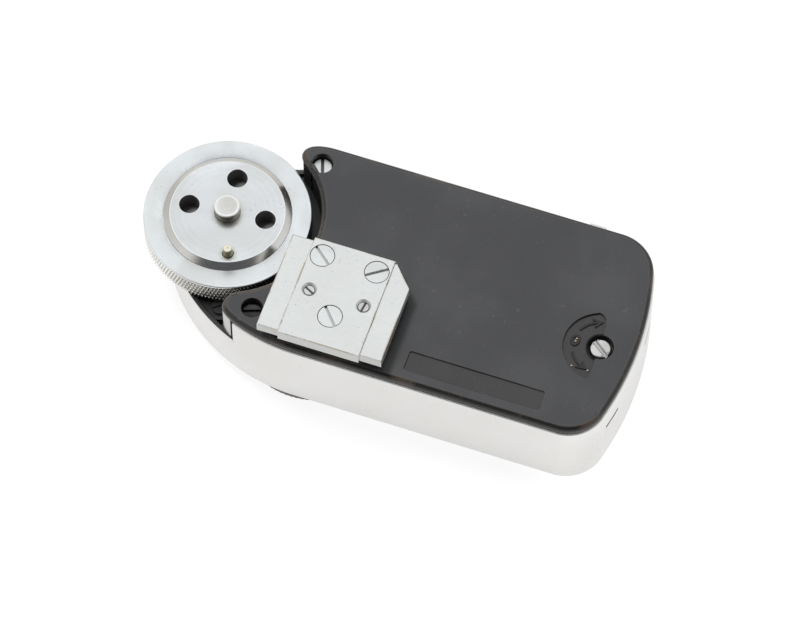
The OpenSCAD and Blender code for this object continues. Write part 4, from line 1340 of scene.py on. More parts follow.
@dataclass(frozen=True)
class BaseCover:
    """The black moulded cover, with its sunk places, and the screws that hold it."""

    low: float = RIM_Z
    top: float = COVER_Z
    edge: float = 0.8
    screw_at: tuple = ((8.97, -14.43), (10.63, 11.11))
    screw_angles: tuple = (20.0, 109.0)
    screw_finishes: tuple = ((2, 2), (0, 1))
    counterbore_r: float = 1.55
    zero_at: tuple = (57.77, -4.43)
    zero_hole_r: float = 1.93
    panel_r: float = 5.4
    panel_deep: float = 0.35
    panel_span: tuple = (99.0, 268.0)
    arrow_r: float = 4.05
    arrow_half: float = 0.17
    mark_high: float = 0.2
    gilt_at: tuple = ((54.77, -8.49), (57.15, -8.51), (54.18, -4.13), (54.12, -4.55))
    plate_low: tuple = (32.5, -16.8)
    plate_high: tuple = (52.6, -13.75)
    needle_pivot: tuple = (46.0, -9.0)

    def spot(self, radius: float, degrees: float) -> np.ndarray:
        """A plan point about the zero screw."""
        return polar(self.zero_at, radius, degrees)

    def zero_panel(self) -> np.ndarray:
        """Outline of the half-round sunk panel beside the zero screw."""
        spot, r, inner = self.spot, self.panel_r, self.zero_hole_r + 0.16
        upper, lower = self.panel_span
        return closed(
            bezier(spot(inner, upper - 2), spot(3.9, 96), spot(5.2, 95), spot(r + 0.1, 110), 14),
            arc(self.zero_at, r, 112, lower - 5, 0.15),
            bezier(spot(r, lower - 5), spot(r, lower), spot(4.9, lower), spot(4.4, lower), 6),
            arc(self.zero_at, inner, lower - 4, upper, 0.15),
        )

    def arrow(self, surface: Surface, start: float, stop: float, z: float) -> None:
        """Adds a raised bent arrow to the panel's floor, with its tip at stop."""
        way = 1 if stop > start else -1
        r, half, neck = self.arrow_r, way * self.arrow_half, stop - way * 9
        shaft = closed(
            arc(self.zero_at, r + half, start, neck, 0.12), arc(self.zero_at, r - half, neck, start, 0.12)
        )
        barbs = ((0.8, 20), (0.42, 20.5))
        outer, inner = ([self.spot(r + s * out, stop - way * back) for out, back in barbs] for s in (1, -1))
        head = np.array([self.spot(r, stop), *outer, self.spot(r, neck), *inner[::-1]])
        for loop in (shaft, closed(head, step=0.15)):
            surface.slab(counter_clockwise(loop), z - 0.02, z + self.mark_high, 0.05, finish=2)

    def marks(self, surface: Surface, z: float) -> None:
        """Adds the raised arrows and the 0 to the panel's floor, and what is left of their gilding."""
        self.arrow(surface, 153, 101, z)
        self.arrow(surface, 207, 259, z)
        top, at = z + self.mark_high, self.spot(3.75, 179)
        outer, inner = (circle((0, 0), 1.0, 40) * [r * 0.72, r] + at for r in (1.0, 0.5))
        surface.wall(outer, np.array([[0, z], [0, z + 0.1], [0.05, top]]), finish=2, wear=1.0)
        surface.wall(inner, np.array([[0, z], [0, top]]), hole=True, finish=2)
        surface.cap([grown(outer, -0.05), inner], top, finish=2, wear=0.6)
        trace = [[0.12, top - 0.1], [0.11, top + 0.02], [0.07, top + 0.04], [0, top + 0.04]]
        for spot in self.gilt_at:
            surface.lathe(spot, trace, 20, finish=3)

    def plate(self) -> None:
        """The cover: a rounded edge carried round its outline, and a top with sunk places."""
        loop, low, top = PLAN.cover(), self.low, self.top
        foot = np.array([[0.12 + LIP, low], [0.12, low], [0.0, low + 0.12], [0.0, low + 0.45]])
        profile = np.concatenate([foot, edge_fillet(self.edge, top, 8)])
        surface = Surface()
        # The wear paints shade on the side and fillet and a highlight line at the fillet's top, and marks the
        # rubbing.
        surface.wall(loop, profile, wear=np.r_[np.ones(len(profile) - 4), 0.85, 0.5, 0.2, 0.0])
        bores = [circle(at, self.counterbore_r, 72) for at in self.screw_at]
        zero = circle(self.zero_at, self.zero_hole_r, 80)
        sunk = round_rect(self.plate_low, self.plate_high, 0.3)
        panel = top - self.panel_deep
        holes = [surface.pit(bore, top, low - 0.5, 0.12, 0, 1, 0.6) for bore in bores]
        holes.append(surface.pit(zero, top, low - 0.3, 0.08, 0, 1, 0.5))
        holes.append(surface.pit(self.zero_panel(), top, panel, 0.06, 0, 4, 0.8))
        holes.append(surface.pit(sunk, top, top - 0.2, 0.07, 0, 4, 0.9))
        self.marks(surface, panel)
        surface.cap([grown(loop, -profile[-1, 0]), *holes], top)
        surface.cap([grown(loop, -profile[0, 0]), *bores, zero], low, Facing.DOWN)
        finishes = [BLACK_COVER, BLACK_PIT, SHADED_RAISED_MARK, GILT, SUNK_BLACK]
        surface.build("cover_plate", Body.CASE, "black_cover", finishes, ["base_cover"])

    def screws(self) -> None:
        """The two screws in the horns, down in their counterbores."""
        surface, tip, top = Surface(), floor_of("cover_screws"), self.low + 0.2
        for at, angle, pair in zip(self.screw_at, self.screw_angles, self.screw_finishes):
            SlottedScrew(at, 1.38, top, angle, 0.7, 0.7, tip, 0.4, 0.35).add(surface, *pair)
        finishes = [FOOT_SCREW, SHADED_STEEL, BLACKENED]
        surface.build("horn_screws", Body.CASE, "screw_steel", finishes, ["cover_screws"])

    def zero_screw(self) -> None:
        """The zero screw: a slotted head with a deep chamfer, its shank and its off-centre pin."""
        low, top, at = floor_of("zero_screw"), top_of("zero_screw"), self.zero_at
        surface, head, end = Surface(), top - RIM_Z + 0.25, RIM_Z - 1.7
        SlottedScrew(at, 1.54, top, -37.0, head, 0.85, RIM_Z - 1.75, edge=0.3).add(surface, 0, 1)
        out = math.degrees(math.atan2(at[1] - self.needle_pivot[1], at[0] - self.needle_pivot[0]))
        surface.lathe(self.spot(0.5, out), [[0, low], [0.3, low], [0.3, end], [0, end]], 32)
        finishes = [BRIGHT_STEEL, STEEL]
        surface.build("zero_adjuster_screw", Body.ZERO, "screw_steel", finishes, ["zero_screw"])

    def make(self) -> None:
        """Builds the cover's pieces."""
        self.plate()
        self.screws()
        self.zero_screw()


# Accessory-shoe foot


@dataclass(frozen=True)
class ShoeFoot:
    """The foot's centre block and side strips, with its three screws and two set screws."""

    middle: tuple = (20.41, -10.62)
    block_half: float = 6.05
    block_y: tuple = (-18.65, -2.55)
    strip_half: float = 9.3
    strip_y: tuple = (-18.3, -2.95)
    right_extra: float = 0.5
    corner: tuple = (3.2, 3.55)
    screw_at: tuple = ((-4.08, 5.6), (4.1, 5.55), (0.16, -3.28))
    screw_angles: tuple = (-40.3, 34.7, -48.9)
    screw_r: float = 1.73
    bore_r: float = 1.81
    bore_deep: float = 1.2
    set_at: tuple = ((-4.05, -0.15), (4.1, -0.22))
    set_angles: tuple = (-27.0, 82.0)
    set_r: float = 0.76
    set_bore_r: float = 0.8
    sink_r: float = 1.1
    edge: float = 0.09
    gap: float = 1.5
    undercut: float = 1.2
    pedestal_in: float = 0.03

    def place(self, spot: Point) -> np.ndarray:
        """A plan point from the foot's middle."""
        return np.asarray(self.middle) + np.asarray(spot)

    def bores(self, surface: Surface) -> list[np.ndarray]:
        """Adds the screws' bores and countersinks, and returns the loops that they take out of the land."""
        floor, r = LAND_Z - self.bore_deep, self.sink_r
        loops = [circle(self.place(p), self.bore_r, 80) for p in self.screw_at]
        holes = [surface.pit(loop, LAND_Z, floor, 0.03, 0, 1, 0.3) for loop in loops]
        rim = [[r + LIP, LAND_Z], [r, LAND_Z], [r - 0.04, LAND_Z - 0.04]]
        cone = [*rim, [0.84, LAND_Z - 0.36], [self.set_bore_r, LAND_Z - 0.42]]
        for p in self.set_at:
            surface.lathe(self.place(p), cone, 64)
            surface.lathe(self.place(p), [cone[-1], [self.set_bore_r, floor], [0.0, floor]], 64, finish=1)
            holes.append(circle(self.place(p), r + LIP, 64))
        return holes

    def block(self) -> None:
        """The centre block: eased edges, and bored and countersunk for its screws."""
        x, half, (low_y, high_y), inset = self.middle[0], self.block_half, self.block_y, self.pedestal_in
        outline = closed(box_of((x - half, low_y), (x + half, high_y)), step=0.2)
        low, high = (x - half + inset, low_y + self.undercut), (x + half - inset, high_y - inset)
        pedestal = closed(box_of(low, high))
        surface, floor = Surface(), COVER_Z + self.gap
        holes = self.bores(surface)
        edge = edge_fillet(self.edge, LAND_Z)
        side = [[0.0, floor], [0.0, top_of("foot_flanges")]]
        profile = np.concatenate([side, edge, [[edge[-1, 0] + 0.06, LAND_Z]]])
        wear = np.r_[0.0, 0.0, np.ones(len(profile) - 5), 0.8, 0.5, 0.0]
        away = [np.linalg.norm(outline - self.place(p), axis=1) for p in self.screw_at]
        room = np.min(away, axis=0) - self.bore_r - 0.1
        ease = np.clip(room / profile[-1, 0], 0.05, 1.0)[:, None]
        rows = carried(outline, outward(outline) * ease, profile)
        surface.grid(rows, wear=wear)
        surface.cap([rows[-1, :, :2], *holes], LAND_Z)
        surface.wall(pedestal, np.array([[0.0, COVER_Z], [0.0, floor]]))
        surface.cap([outline, pedestal], floor, Facing.DOWN)
        surface.cap([pedestal], COVER_Z, Facing.DOWN)
        surface.build("foot_block", Body.CASE, "foot_chrome", [FOOT_CHROME, HOLE_SHADE], ["shoe_foot"])

    def strips(self) -> None:
        """The two side strips that run under a shoe's rails, the right one with its far corner cut."""
        x, (low_y, high_y) = self.middle[0], self.strip_y
        inner, outer, far = self.block_half, self.strip_half, high_y + self.right_extra
        left = box_of((x - outer, low_y), (x - inner, high_y))
        cut = [[x + outer, far - self.corner[1]], [x + outer - self.corner[0], far]]
        right = np.array([[x + inner, low_y], [x + outer, low_y], *cut, [x + inner, far]])
        surface, low, top = Surface(), floor_of("foot_flanges"), top_of("foot_flanges")
        for outline in (left, right):
            surface.slab(closed(outline), low, top, 0.12, 0.08, rub=0.05)
        surface.build("foot_strips", Body.CASE, "foot_chrome", [FOOT_CHROME], ["foot_flanges"])

    def screws(self) -> None:
        """The three flush screws."""
        surface, tip, top = Surface(), floor_of("foot_screws"), LAND_Z - 0.03
        for p, angle in zip(self.screw_at, self.screw_angles):
            screw = SlottedScrew(self.place(p), self.screw_r, top, angle, 1.15, 0.88, tip, 0.36, 0.4, 0.05)
            screw.add(surface, 0, 1)
        surface.build("foot_face_screws", Body.CASE, "screw_steel", [FOOT_SCREW, STEEL], ["foot_screws"])

    def set_screws(self) -> None:
        """The two small set screws down in their countersinks."""
        surface, tip, top = Surface(), floor_of("foot_set_screws"), LAND_Z - 0.28
        for p, angle in zip(self.set_at, self.set_angles):
            screw = SlottedScrew(self.place(p), self.set_r, top, angle, 0.6, 0.7, tip, 0.26, 0.3, 0.08)
            screw.add(surface, 0, 1)
        finishes = [BRIGHT_STEEL, SHADED_STEEL]
        surface.build("foot_small_screws", Body.CASE, "screw_steel", finishes, ["foot_set_screws"])

    def make(self) -> None:
        """Builds the foot's pieces."""
        self.block()
        self.strips()
        self.screws()
        self.set_screws()


# Case


@dataclass(frozen=True)
class Case:
    """The plated case: a wall low round the dial and high elsewhere, and the plate below."""

    low: float = PLATE_Z
    inside: float = PLATE_Z + 0.9
    low_top: float = 9.35
    top: float = RIM_Z
    base_edge: float = 0.25
    lip: float = 0.22
    low_lip: float = 0.1
    slot_z: tuple = (9.95, 10.65)
    bearing_r: float = 3.2
    return_thick: float = 0.32

    def profile(self, top: float, lip: float, levels: Sequence[float]) -> tuple[np.ndarray, np.ndarray, int]:
        """A wall's section, from under its outer edge, over its top and down inside.

        Args:
            top: height of the wall's top.
            lip: radius of the top's edges.
            levels: heights at which the wall has rows.

        Returns:
            Rows of (inset, height), their wear, and the first row of the inside.
        """
        foot = edge_foot(self.base_edge, self.low, 8)
        outer = np.array([[0.0, z] for z in levels if z < top - lip])
        crown = edge_bend(lip, top, 4)
        back = crown[::-1] * [-1, 1] + [WALL, 0]
        rows = np.concatenate([foot, outer, crown, back, outer[::-1] + [WALL, 0], [[WALL, self.inside]]])
        start = len(foot) + len(outer)
        wear = np.zeros(len(rows))
        wear[start : start + len(crown)] = 1.0
        wear[2 : len(foot) - 1] = 0.3
        return rows, wear, start + len(crown) - 1

    def strip(
        self,
        surface: Surface,
        loop: np.ndarray,
        out: np.ndarray,
        section: tuple[np.ndarray, np.ndarray, int],
        inner: int,
    ) -> None:
        """Carries a wall's section along part of the outline, leaving out the window and the slots.

        Args:
            surface: where the wall goes.
            loop: the part of the outline.
            out: its outward normals.
            section: the wall's rows, their wear, and the first row of the inside.
            inner: finish of the inside.
        """
        rows, wear, split = section
        points = carried(loop, out, rows)
        z = (rows[:-1, 1] + rows[1:, 1])[:, None] / 2
        x, y = ((loop[:-1] + loop[1:]) / 2).T
        front = (y > PLAN.front_y - 0.01) & (x > PLAN.window_x[0]) & (x < PLAN.window_x[1])
        window = front & (z > CELL_Z[0]) & (z < CELL_Z[1])
        beside = np.any([np.abs(y - at) < PLAN.slot_len / 2 for at in PLAN.slots_y], axis=0)
        slot = beside & (x > PLAN.slots_past_x) & (z > self.slot_z[0]) & (z < self.slot_z[1])
        kept = ~(window | slot)
        surface.grid(points[: split + 1], False, wear=wear[: split + 1], mask=kept[:split])
        surface.grid(points[split:], False, wear=wear[split:], finish=inner, mask=kept[split:])

    def step(self, surface: Surface, spot: np.ndarray, out: np.ndarray, flip: bool) -> None:
        """Closes the end of the high wall, above the low one."""
        z = np.linspace(self.low_top - self.low_lip, self.top, 6)
        plan = spot - np.linspace(0, WALL, 4)[None, :, None] * out
        surface.grid(raised(np.broadcast_to(plan, (len(z), 4, 2)), z), False, flip)

    def reveal(self, surface: Surface, loop: np.ndarray, out: np.ndarray) -> None:
        """Walls a slot through the thickness of the wall."""
        plan = np.stack([loop, loop - WALL * out])
        for z, flip in zip(self.slot_z, (False, True)):
            surface.grid(raised(plan, z), False, flip, finish=2)
        for column, flip in ((0, False), (-1, True)):
            side = np.broadcast_to(plan[:, column], (2, 2, 2))
            surface.grid(raised(side, self.slot_z), False, flip, finish=2)

    def shell(self) -> None:
        """The case's wall and plate as one piece."""
        loop = PLAN.outline()
        out = outward(loop)
        far = int(np.argmin(np.abs(loop[:, 0] - PLAN.far_step_x) + 100 * (loop[:, 1] < 0)))
        surface, low_edge = Surface(), self.low_top - self.low_lip
        levels = [CELL_Z[0], self.low_top - 0.3, low_edge, *self.slot_z, CELL_Z[1]]
        high, low = slice(0, far + 1), np.r_[far : len(loop), 0]
        self.strip(surface, loop[high], out[high], self.profile(self.top, self.lip, levels), 0)
        self.strip(surface, loop[low], out[low], self.profile(self.low_top, self.low_lip, levels[:2]), 1)
        self.step(surface, loop[0], out[0], False)
        self.step(surface, loop[far], out[far], True)
        for y in PLAN.slots_y:
            beside = np.abs(loop[:, 1] - y) < PLAN.slot_len / 2 + 1e-4
            run = np.flatnonzero(beside & (loop[:, 0] > PLAN.slots_past_x))
            self.reveal(surface, loop[run], out[run])
        holes = [round_rect(*PANE, PANE_R), circle(CALCULATOR_AT, self.bearing_r, 72)]
        for hole in holes:
            surface.wall(hole, np.array([[0, self.low], [0, self.inside]]), hole=True)
        surface.cap([grown(loop, -self.base_edge - LIP), *holes], self.low, Facing.DOWN)
        surface.cap([grown(loop, -WALL), *holes], self.inside)
        finishes = [SATIN_CHROME, BAY_BLACK, REVEAL]
        surface.build("case_body", Body.CASE, "satin_chrome", finishes, ["case_shell"])

    def bay_return(self) -> None:
        """The plated strip that turns in under the cover's near horn, beside the high wall's end."""
        edge = PLAN.near_horn()
        run = edge[(edge[:, 0] < PLAN.near_step_x - 0.35) & (edge[:, 1] < -12.6)]
        low, top, thick = top_of("dial_bearing") + 0.02, self.top - 0.02, self.return_thick
        rows = np.array([[0.05, low], [0.05, top - 0.05], [0.09, top], [thick, top], [thick, low]])
        points = carried(run, -across(run), rows)
        surface = Surface().grid(points, False, wear=[0, 0, 1, 0, 0])
        for column, flip in ((0, True), (-1, False)):
            end = points[:, column]
            surface.grid(np.stack([end[[0, 1, 2, 2]], end[[4, 3, 3, 3]]], 1), False, flip)
        surface.build("bay_return", Body.CASE, "satin_chrome", [RETURN_STRIP])

    def make(self) -> None:
        """Builds the case's pieces."""
        self.shell()
        self.bay_return()


# Figures


def stroke(path: np.ndarray, width: float) -> np.ndarray:
    """The two edges of a line of some width along a path, half of it to either side."""
    path = path[np.r_[True, np.linalg.norm(np.diff(path, axis=0), axis=1) > 1e-5]]
    side = across(path) * width / 2
    return np.stack([path - side, path + side])


def bend(cx: float, cy: float, rx: float, ry: float, start: float, stop: float) -> np.ndarray:
    """An arc of an ellipse, for the round parts of figures."""
    return np.array([cx, cy]) + np.array([rx, ry]) * unit(np.linspace(start, stop, 17))


def line(*points: Point) -> np.ndarray:
    """A straight or broken line, for the other parts of figures."""
    return np.array(points)


FIGURES: dict[str, list[np.ndarray]] = {
    "0": [bend(0.3, 0.5, 0.27, 0.48, 90, 450)],
    "1": [line((0.14, 0.76), (0.34, 0.96), (0.345, 0.96), (0.345, 0.02))],
    "2": [
        bend(0.3, 0.70, 0.26, 0.28, 165, -38),
        line((0.505, 0.53), (0.05, 0.03), (0.055, 0.03), (0.57, 0.03)),
    ],
    "3": [bend(0.28, 0.74, 0.24, 0.24, 150, -90), bend(0.28, 0.27, 0.28, 0.25, 90, -150)],
    "4": [line((0.43, 0.02), (0.43, 0.97)), line((0.43, 0.97), (0.03, 0.3)), line((0.03, 0.3), (0.58, 0.3))],
    "5": [
        line((0.53, 0.97), (0.13, 0.97)), line((0.13, 0.97), (0.09, 0.55)),
        bend(0.27, 0.32, 0.28, 0.3, 130, -145),
    ],
    "6": [
        bend(0.3, 0.3, 0.27, 0.28, 0, 360),
        bezier((0.03, 0.3), (0.03, 0.65), (0.2, 0.9), (0.46, 0.97), 10),
    ],
    "8": [bend(0.3, 0.75, 0.22, 0.22, 0, 360), bend(0.3, 0.27, 0.27, 0.26, 0, 360)],
    ".": [line((0.02, 0.05), (0.12, 0.05))],
}


@dataclass(frozen=True)
class FigureStyle:
    """How figures on a face that looks down are written: their height, stroke and level."""

    high: float
    stroke: float
    z: float
    finish: int

    def write(self, surface: Surface, word: str, at: np.ndarray, degrees: float) -> None:
        """Adds a word centred on a point, its top turned to an angle; on such a face right is mirrored."""
        widths = [0.2 if c == "." else 0.74 for c in word]
        start = -(sum(widths) - 0.14) / 2
        for character, width in zip(word, widths):
            for path in FIGURES[character]:
                local = (path + [start, -0.5]) * self.high * [-1, 1]
                self.line(surface, turned(local, degrees - 90) + at)
            start += width

    def line(self, surface: Surface, path: np.ndarray, width: Optional[float] = None) -> None:
        """Adds a line along a path."""
        edges = stroke(path, width or self.stroke)
        surface.grid(raised(edges, self.z), False, True, finish=self.finish)

    def tick(self, surface: Surface, at: Point, radii: Point, degrees: float, width: float) -> None:
        """Adds a line that points at a centre, between two distances from it."""
        self.line(surface, np.array([polar(at, r, degrees) for r in radii]), width)

    def ring(self, surface: Surface, at: Point, radius: float, count: int, width: float) -> None:
        """Adds a line all round a centre."""
        loop = circle(at, radius, count)
        self.line(surface, np.concatenate([loop, loop[:1]]), width)


# Calculator


@dataclass(frozen=True)
class Calculator:
    """The calculator dial on the underside, its film-speed disc and its centre screw."""

    at: tuple = CALCULATOR_AT
    radius: float = 11.6
    face: float = 0.06
    thick: float = top_of("calculator_dial")
    ridges: int = 90
    ridge: float = 0.06
    recess_r: float = 7.6
    recess: float = 0.75
    disc_r: float = 7.5
    disc_low: float = 0.3
    screw_r: float = 2.8
    times: tuple = ("1000", "500", "250", "125", "60", "30", "15", "8", "4", "2", "1")
    stops: tuple = ("1.4", "2", "2.8", "4", "5.6", "8", "11", "16", "22")
    speeds: tuple = ("25", "50", "100", "200", "400")

    def spot(self, radius: float, degrees: float) -> np.ndarray:
        """A plan point about the dial's axis."""
        return polar(self.at, radius, degrees)

    def dial(self) -> None:
        """The dial: a ridged edge, whose radius is a rounded wave of the angle, and a face with figures."""
        count, face, thick = self.ridges * 10, self.face, self.thick
        wave = np.abs(np.sin(np.arange(count) * np.pi / 10)) ** 0.8
        edge = [[0.3, face + 0.05, 0], [0.03, face + 0.25, 1], [0.02, thick - 0.25, 1]]
        rows = np.array([[0.45, face, 0], [0.4, face, 0], *edge, [0.25, thick, 0], [0.4, thick, 0]])
        radius = self.radius - rows[:, :1] - rows[:, 2:] * self.ridge * (1 - wave[None])
        plan = np.asarray(self.at) + radius[:, :, None] * ring_of(count)[None]
        # The ridged edge takes finish 3, steel painted dark for the shadow under the case's wall.
        surface = Surface().grid(raised(plan, rows[:, 1]), wear=[0, 0, 0.4, 1, 1, 0, 0], finish=3)
        rim = [circle(self.at, self.radius - rows[k, 0], count) for k in (0, -1)]
        well = circle(self.at, self.recess_r, 180)
        surface.wall(well, np.array([[-0.06, face], [0, face + 0.06], [0, self.recess]]), hole=True)
        surface.cap([rim[0], grown(well, 0.06)], face, Facing.DOWN)
        surface.cap([well, circle(self.at, 2.42, 72)], self.recess, Facing.DOWN)
        surface.cap([rim[1]], thick)
        figures = FigureStyle(1.25, 0.16, face - 0.02, 1)
        small = FigureStyle(0.95, 0.13, face - 0.02, 2)
        for k, word in enumerate(self.times):
            angle = 290 - k * 20
            figures.write(surface, word, self.spot(10.1, angle), angle)
            figures.tick(surface, self.at, (8.95, 9.3), angle, 0.12)
        for k, word in enumerate(self.stops):
            angle = 250 - k * 20
            small.write(surface, word, self.spot(8.22, angle), angle)
        figures.ring(surface, self.at, 8.85, 180, 0.06)
        finishes = [PALE_PLATE, INK_BLACK, INK_RED, SHADED_STEEL]
        surface.build("calculator_face", Body.CALCULATOR, "dial_print", finishes, ["calculator_dial"])

    def film_disc(self) -> None:
        """The film-speed disc, with its figures and its finger pip."""
        low, top = self.disc_low, top_of("film_speed_disc")
        outer, inner = circle(self.at, self.disc_r, 180), circle(self.at, 1.53, 64)
        surface = Surface().wall(outer, np.array([[0.1, low], [0, low + 0.1], [0, top]]))
        surface.wall(inner, np.array([[0, low], [0, top]]), hole=True)
        surface.cap([grown(outer, -0.1), inner], low, Facing.DOWN)
        surface.cap([outer, inner], top)
        pip = [[0, 0.1], [0.34, 0.1], [0.46, 0.16], [0.5, low + 0.02]]
        surface.lathe(self.spot(6.3, -90), pip, 40, finish=1)
        figures = FigureStyle(1.05, 0.14, low - 0.02, 1)
        for k, word in enumerate(self.speeds):
            angle = 26 + k * 32
            figures.write(surface, word, self.spot(5.6, angle), angle)
            figures.tick(surface, self.at, (6.7, 7.2), angle, 0.12)
        figures.ring(surface, self.at, 4.4, 140, 0.08)
        finishes = [SPEED_BLACK, INK_WHITE]
        surface.build("film_speed_face", Body.FILM, "speed_disc", finishes, ["film_speed_disc"])

    def centre_screw(self) -> None:
        """The screw in the dial's middle, its slotted head looking down."""
        low, top, r, head = floor_of("dial_centre_screw"), top_of("dial_centre_screw"), self.screw_r, 0.28
        floor = low + 0.16
        surface = Surface().lathe(self.at, [[r, floor], [r, head], [1.5, head], [1.5, top], [0, top]])
        surface.cap([circle(self.at, r)], floor, Facing.DOWN, 1)
        edge = np.array([[0.11, low], [0.06, low], [0.02, low + 0.02], [0, low + 0.06], [0, floor]])
        for land in slot_lands(self.at, r, 0.5, 35, 0.1):
            surface.wall(land, edge, wear=[0, 1, 1, 1, 0])
            surface.cap([grown(land, -edge[0, 0])], low, Facing.DOWN)
        finishes = [BRIGHT_STEEL, SHADED_STEEL]
        surface.build("calculator_screw", Body.CALCULATOR, "screw_steel", finishes, ["dial_centre_screw"])

    def make(self) -> None:
        """Builds the calculator's pieces."""
        self.dial()
        self.film_disc()
        self.centre_screw()


# Needle window


@dataclass(frozen=True)
class NeedleWindow:
    """The bezel round the needle's pane, and the scale printed behind it."""

    wide: float = 1.5
    outer_r: float = 2.5
    edge: float = 0.55
    pivot: tuple = (46.0, -9.0)
    scale_r: float = 14.6
    inner_r: float = 13.9
    figures_r: float = 16.1
    swing: float = 70.0
    ticks: int = 24
    marks: tuple = ("2", "4", "8", "16", "30", "60", "125")

    def bezel(self) -> None:
        """The frame, rounded outside and bevelled towards the pane."""
        low, top = floor_of("window_bezel") + 0.02, top_of("window_bezel")
        outer = round_rect(np.array(PANE[0]) - self.wide, np.array(PANE[1]) + self.wide, self.outer_r)
        inner = round_rect(*PANE, PANE_R)
        edge = np.concatenate([edge_foot(self.edge, low), [[0, top]]])
        surface = Surface().wall(outer, edge, wear=np.r_[np.zeros(2), np.ones(5), 0.3, 0])
        rim = [[-0.5, low], [-0.44, low], [-0.4, low + 0.03]]
        slope = np.array([*rim, [-0.05, low + 0.48], [0, low + 0.58], [0, top]])
        surface.wall(inner, slope, hole=True, wear=[0, 1, 1, 0.3, 0, 0])
        surface.cap([grown(outer, -edge[0, 0]), grown(inner, 0.5)], low, Facing.DOWN)
        surface.cap([outer, inner], top)
        surface.build("pane_frame", Body.CASE, "satin_chrome", [SATIN_CHROME], ["window_bezel"])

    def scale(self) -> None:
        """Printed marks on the scale plate: an arc of ticks about the needle's pivot, with figures."""
        surface = Surface()
        ink = FigureStyle(1.25, 0.15, floor_of("scale_plate") - 0.015, 0)
        start, stop = 90 + self.swing / 2, 90 - self.swing / 2
        for radius, width in ((self.scale_r, 0.1), (self.inner_r, 0.07)):
            ink.line(surface, arc(self.pivot, radius, start, stop, 0.2), width)
        for k, degrees in enumerate(np.linspace(start, stop, self.ticks + 1)):
            long = 1.1 if k % 4 == 0 else 0.7
            ink.tick(surface, self.pivot, (self.inner_r, self.inner_r + long), degrees, 0.1)
        for word, degrees in zip(self.marks, np.linspace(start, stop, len(self.marks))):
            ink.write(surface, word, polar(self.pivot, self.figures_r, degrees), degrees)
        surface.build("scale_print", Body.CASE, "dial_print", [INK_BLACK])

    def make(self) -> None:
        """Builds the window's pieces."""
        self.bezel()
        self.scale()


# Cell window


@dataclass(frozen=True)
class CellWindow:
    """The front frame and the honeycomb of lenses before the cell."""

    x: tuple = PLAN.window_x
    z: tuple = CELL_Z
    wall_y: float = PLAN.front_y
    proud: float = 0.6
    border: float = 0.9
    lug_x: tuple = (50.0, 52.6)
    lug_proud: float = 0.58
    slack: float = 0.04
    lens: float = 2.2
    crown: float = 0.6
    depth: float = 1.6

    def honeycomb(self) -> None:
        """The lens plate: each point bulges by its distance to the nearest point of a hexagonal net."""
        x, z = (
            np.linspace(low + self.slack, high - self.slack, count)
            for (low, high), count in ((self.x, 330), (self.z, 78))
        )
        gx, gz = np.meshgrid(x, z)
        wide, high = self.lens, self.lens * math.sqrt(3)
        near = np.full(gx.shape, np.inf)
        for shift in (0.0, 0.5):
            first_x, first_z = self.x[0] + shift * wide, self.z[0] + shift * high
            row = np.round((gz - first_z) / high) * high + first_z
            column = np.round((gx - first_x) / wide) * wide + first_x
            near = np.minimum(near, (gx - column) ** 2 + (gz - row) ** 2)
        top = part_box("honeycomb_window")[1][1] / MM - HOME[1]
        share = near / (wide**2 / 3)
        points = np.stack([gx, top - self.crown * share, gz], 2)
        # The wear marks the seams between lenses, which the finish darkens with painted shade.
        surface = Surface().grid(points, False, True, wear=np.clip((share - 0.5) / 0.4, 0, 1))
        runs = [points[0], points[:, -1], points[-1, ::-1], points[::-1, 0]]
        rim = np.concatenate([run[:-1] for run in runs])
        back = [0, self.wall_y - self.depth, 0]
        surface.grid(np.stack([rim, rim * [1, 0, 1] + back]), True, True)
        surface.grid(points[:: len(z) - 1, :: len(x) - 1] * [1, 0, 1] + back, False)
        surface.build("lens_plate", Body.CASE, "honeycomb", [HONEYCOMB], ["honeycomb_window"])

    def frame(self) -> None:
        """The front frame with its lug, eased at its edges."""
        low, high = np.transpose([self.x, self.z])
        outer = round_rect(low - self.border, high + self.border, 0.4)
        lug = round_rect((self.lug_x[0], self.z[1] + 0.3), (self.lug_x[1], RIM_Z - 0.12), 0.25)
        base, face = self.wall_y, self.wall_y + self.proud
        surface = Surface().slab_ring(outer, round_rect(low, high, 0.15), base, face, 0.18)
        surface.slab(lug, base, face + self.lug_proud, 0.2).stand()
        surface.build("front_bezel", Body.CASE, "satin_chrome", [SATIN_CHROME], ["front_frame"])

    def make(self) -> None:
        """Builds the window's pieces."""
        self.honeycomb()
        self.frame()


# Inner pieces


CAD_FINISHES: dict[Finish, tuple[str, ...]] = {
    BAY_BLACK: ("dial_bay", "bay_screws"),
    BRASS: (
        "dial_bearing", "coupling_gear", "calculator_gear", "calculator_bearing", "core_spacers",
        "balance_weights", "cell_contact_leaf", "socket_contacts", "jewel_screw",
    ),
    STEEL: (
        "bay_posts", "horn_posts", "foot_anchor", "pin_plug", "calculator_hub",
        "scale_posts", "movement_posts", "bridge_posts", "pivot_staff", "zero_lever", "cell_contact_frame",
    ),
    SOFT_IRON: ("calculator_clip", "yoke_ring", "core_magnet"),
    FRAME_ALLOY: ("movement_frame", "upper_bridge"),
    CLEAR_PANE: ("scale_window",),
    SCALE_CREAM: ("scale_plate",),
    SELENIUM: ("selenium_cell",),
    NEEDLE_RED: ("needle",),
    JEWEL: ("lower_jewel",),
    COPPER: ("moving_coil",),
    BLUE_STEEL: ("hairspring",),
    BOARD: ("tag_board", "socket_block"),
    RESISTOR: ("resistor",),
    SLEEVE: ("cell_leads",),
}


def dress_inner() -> None:
    """Gives each CAD node that stays its finish."""
    for finish, nodes in CAD_FINISHES.items():
        for node in nodes:
            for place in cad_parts[node].material_slots:
                place.material = finish.material()
            LOG.info("%s: dressed as %s", node, finish.name)


# Stage


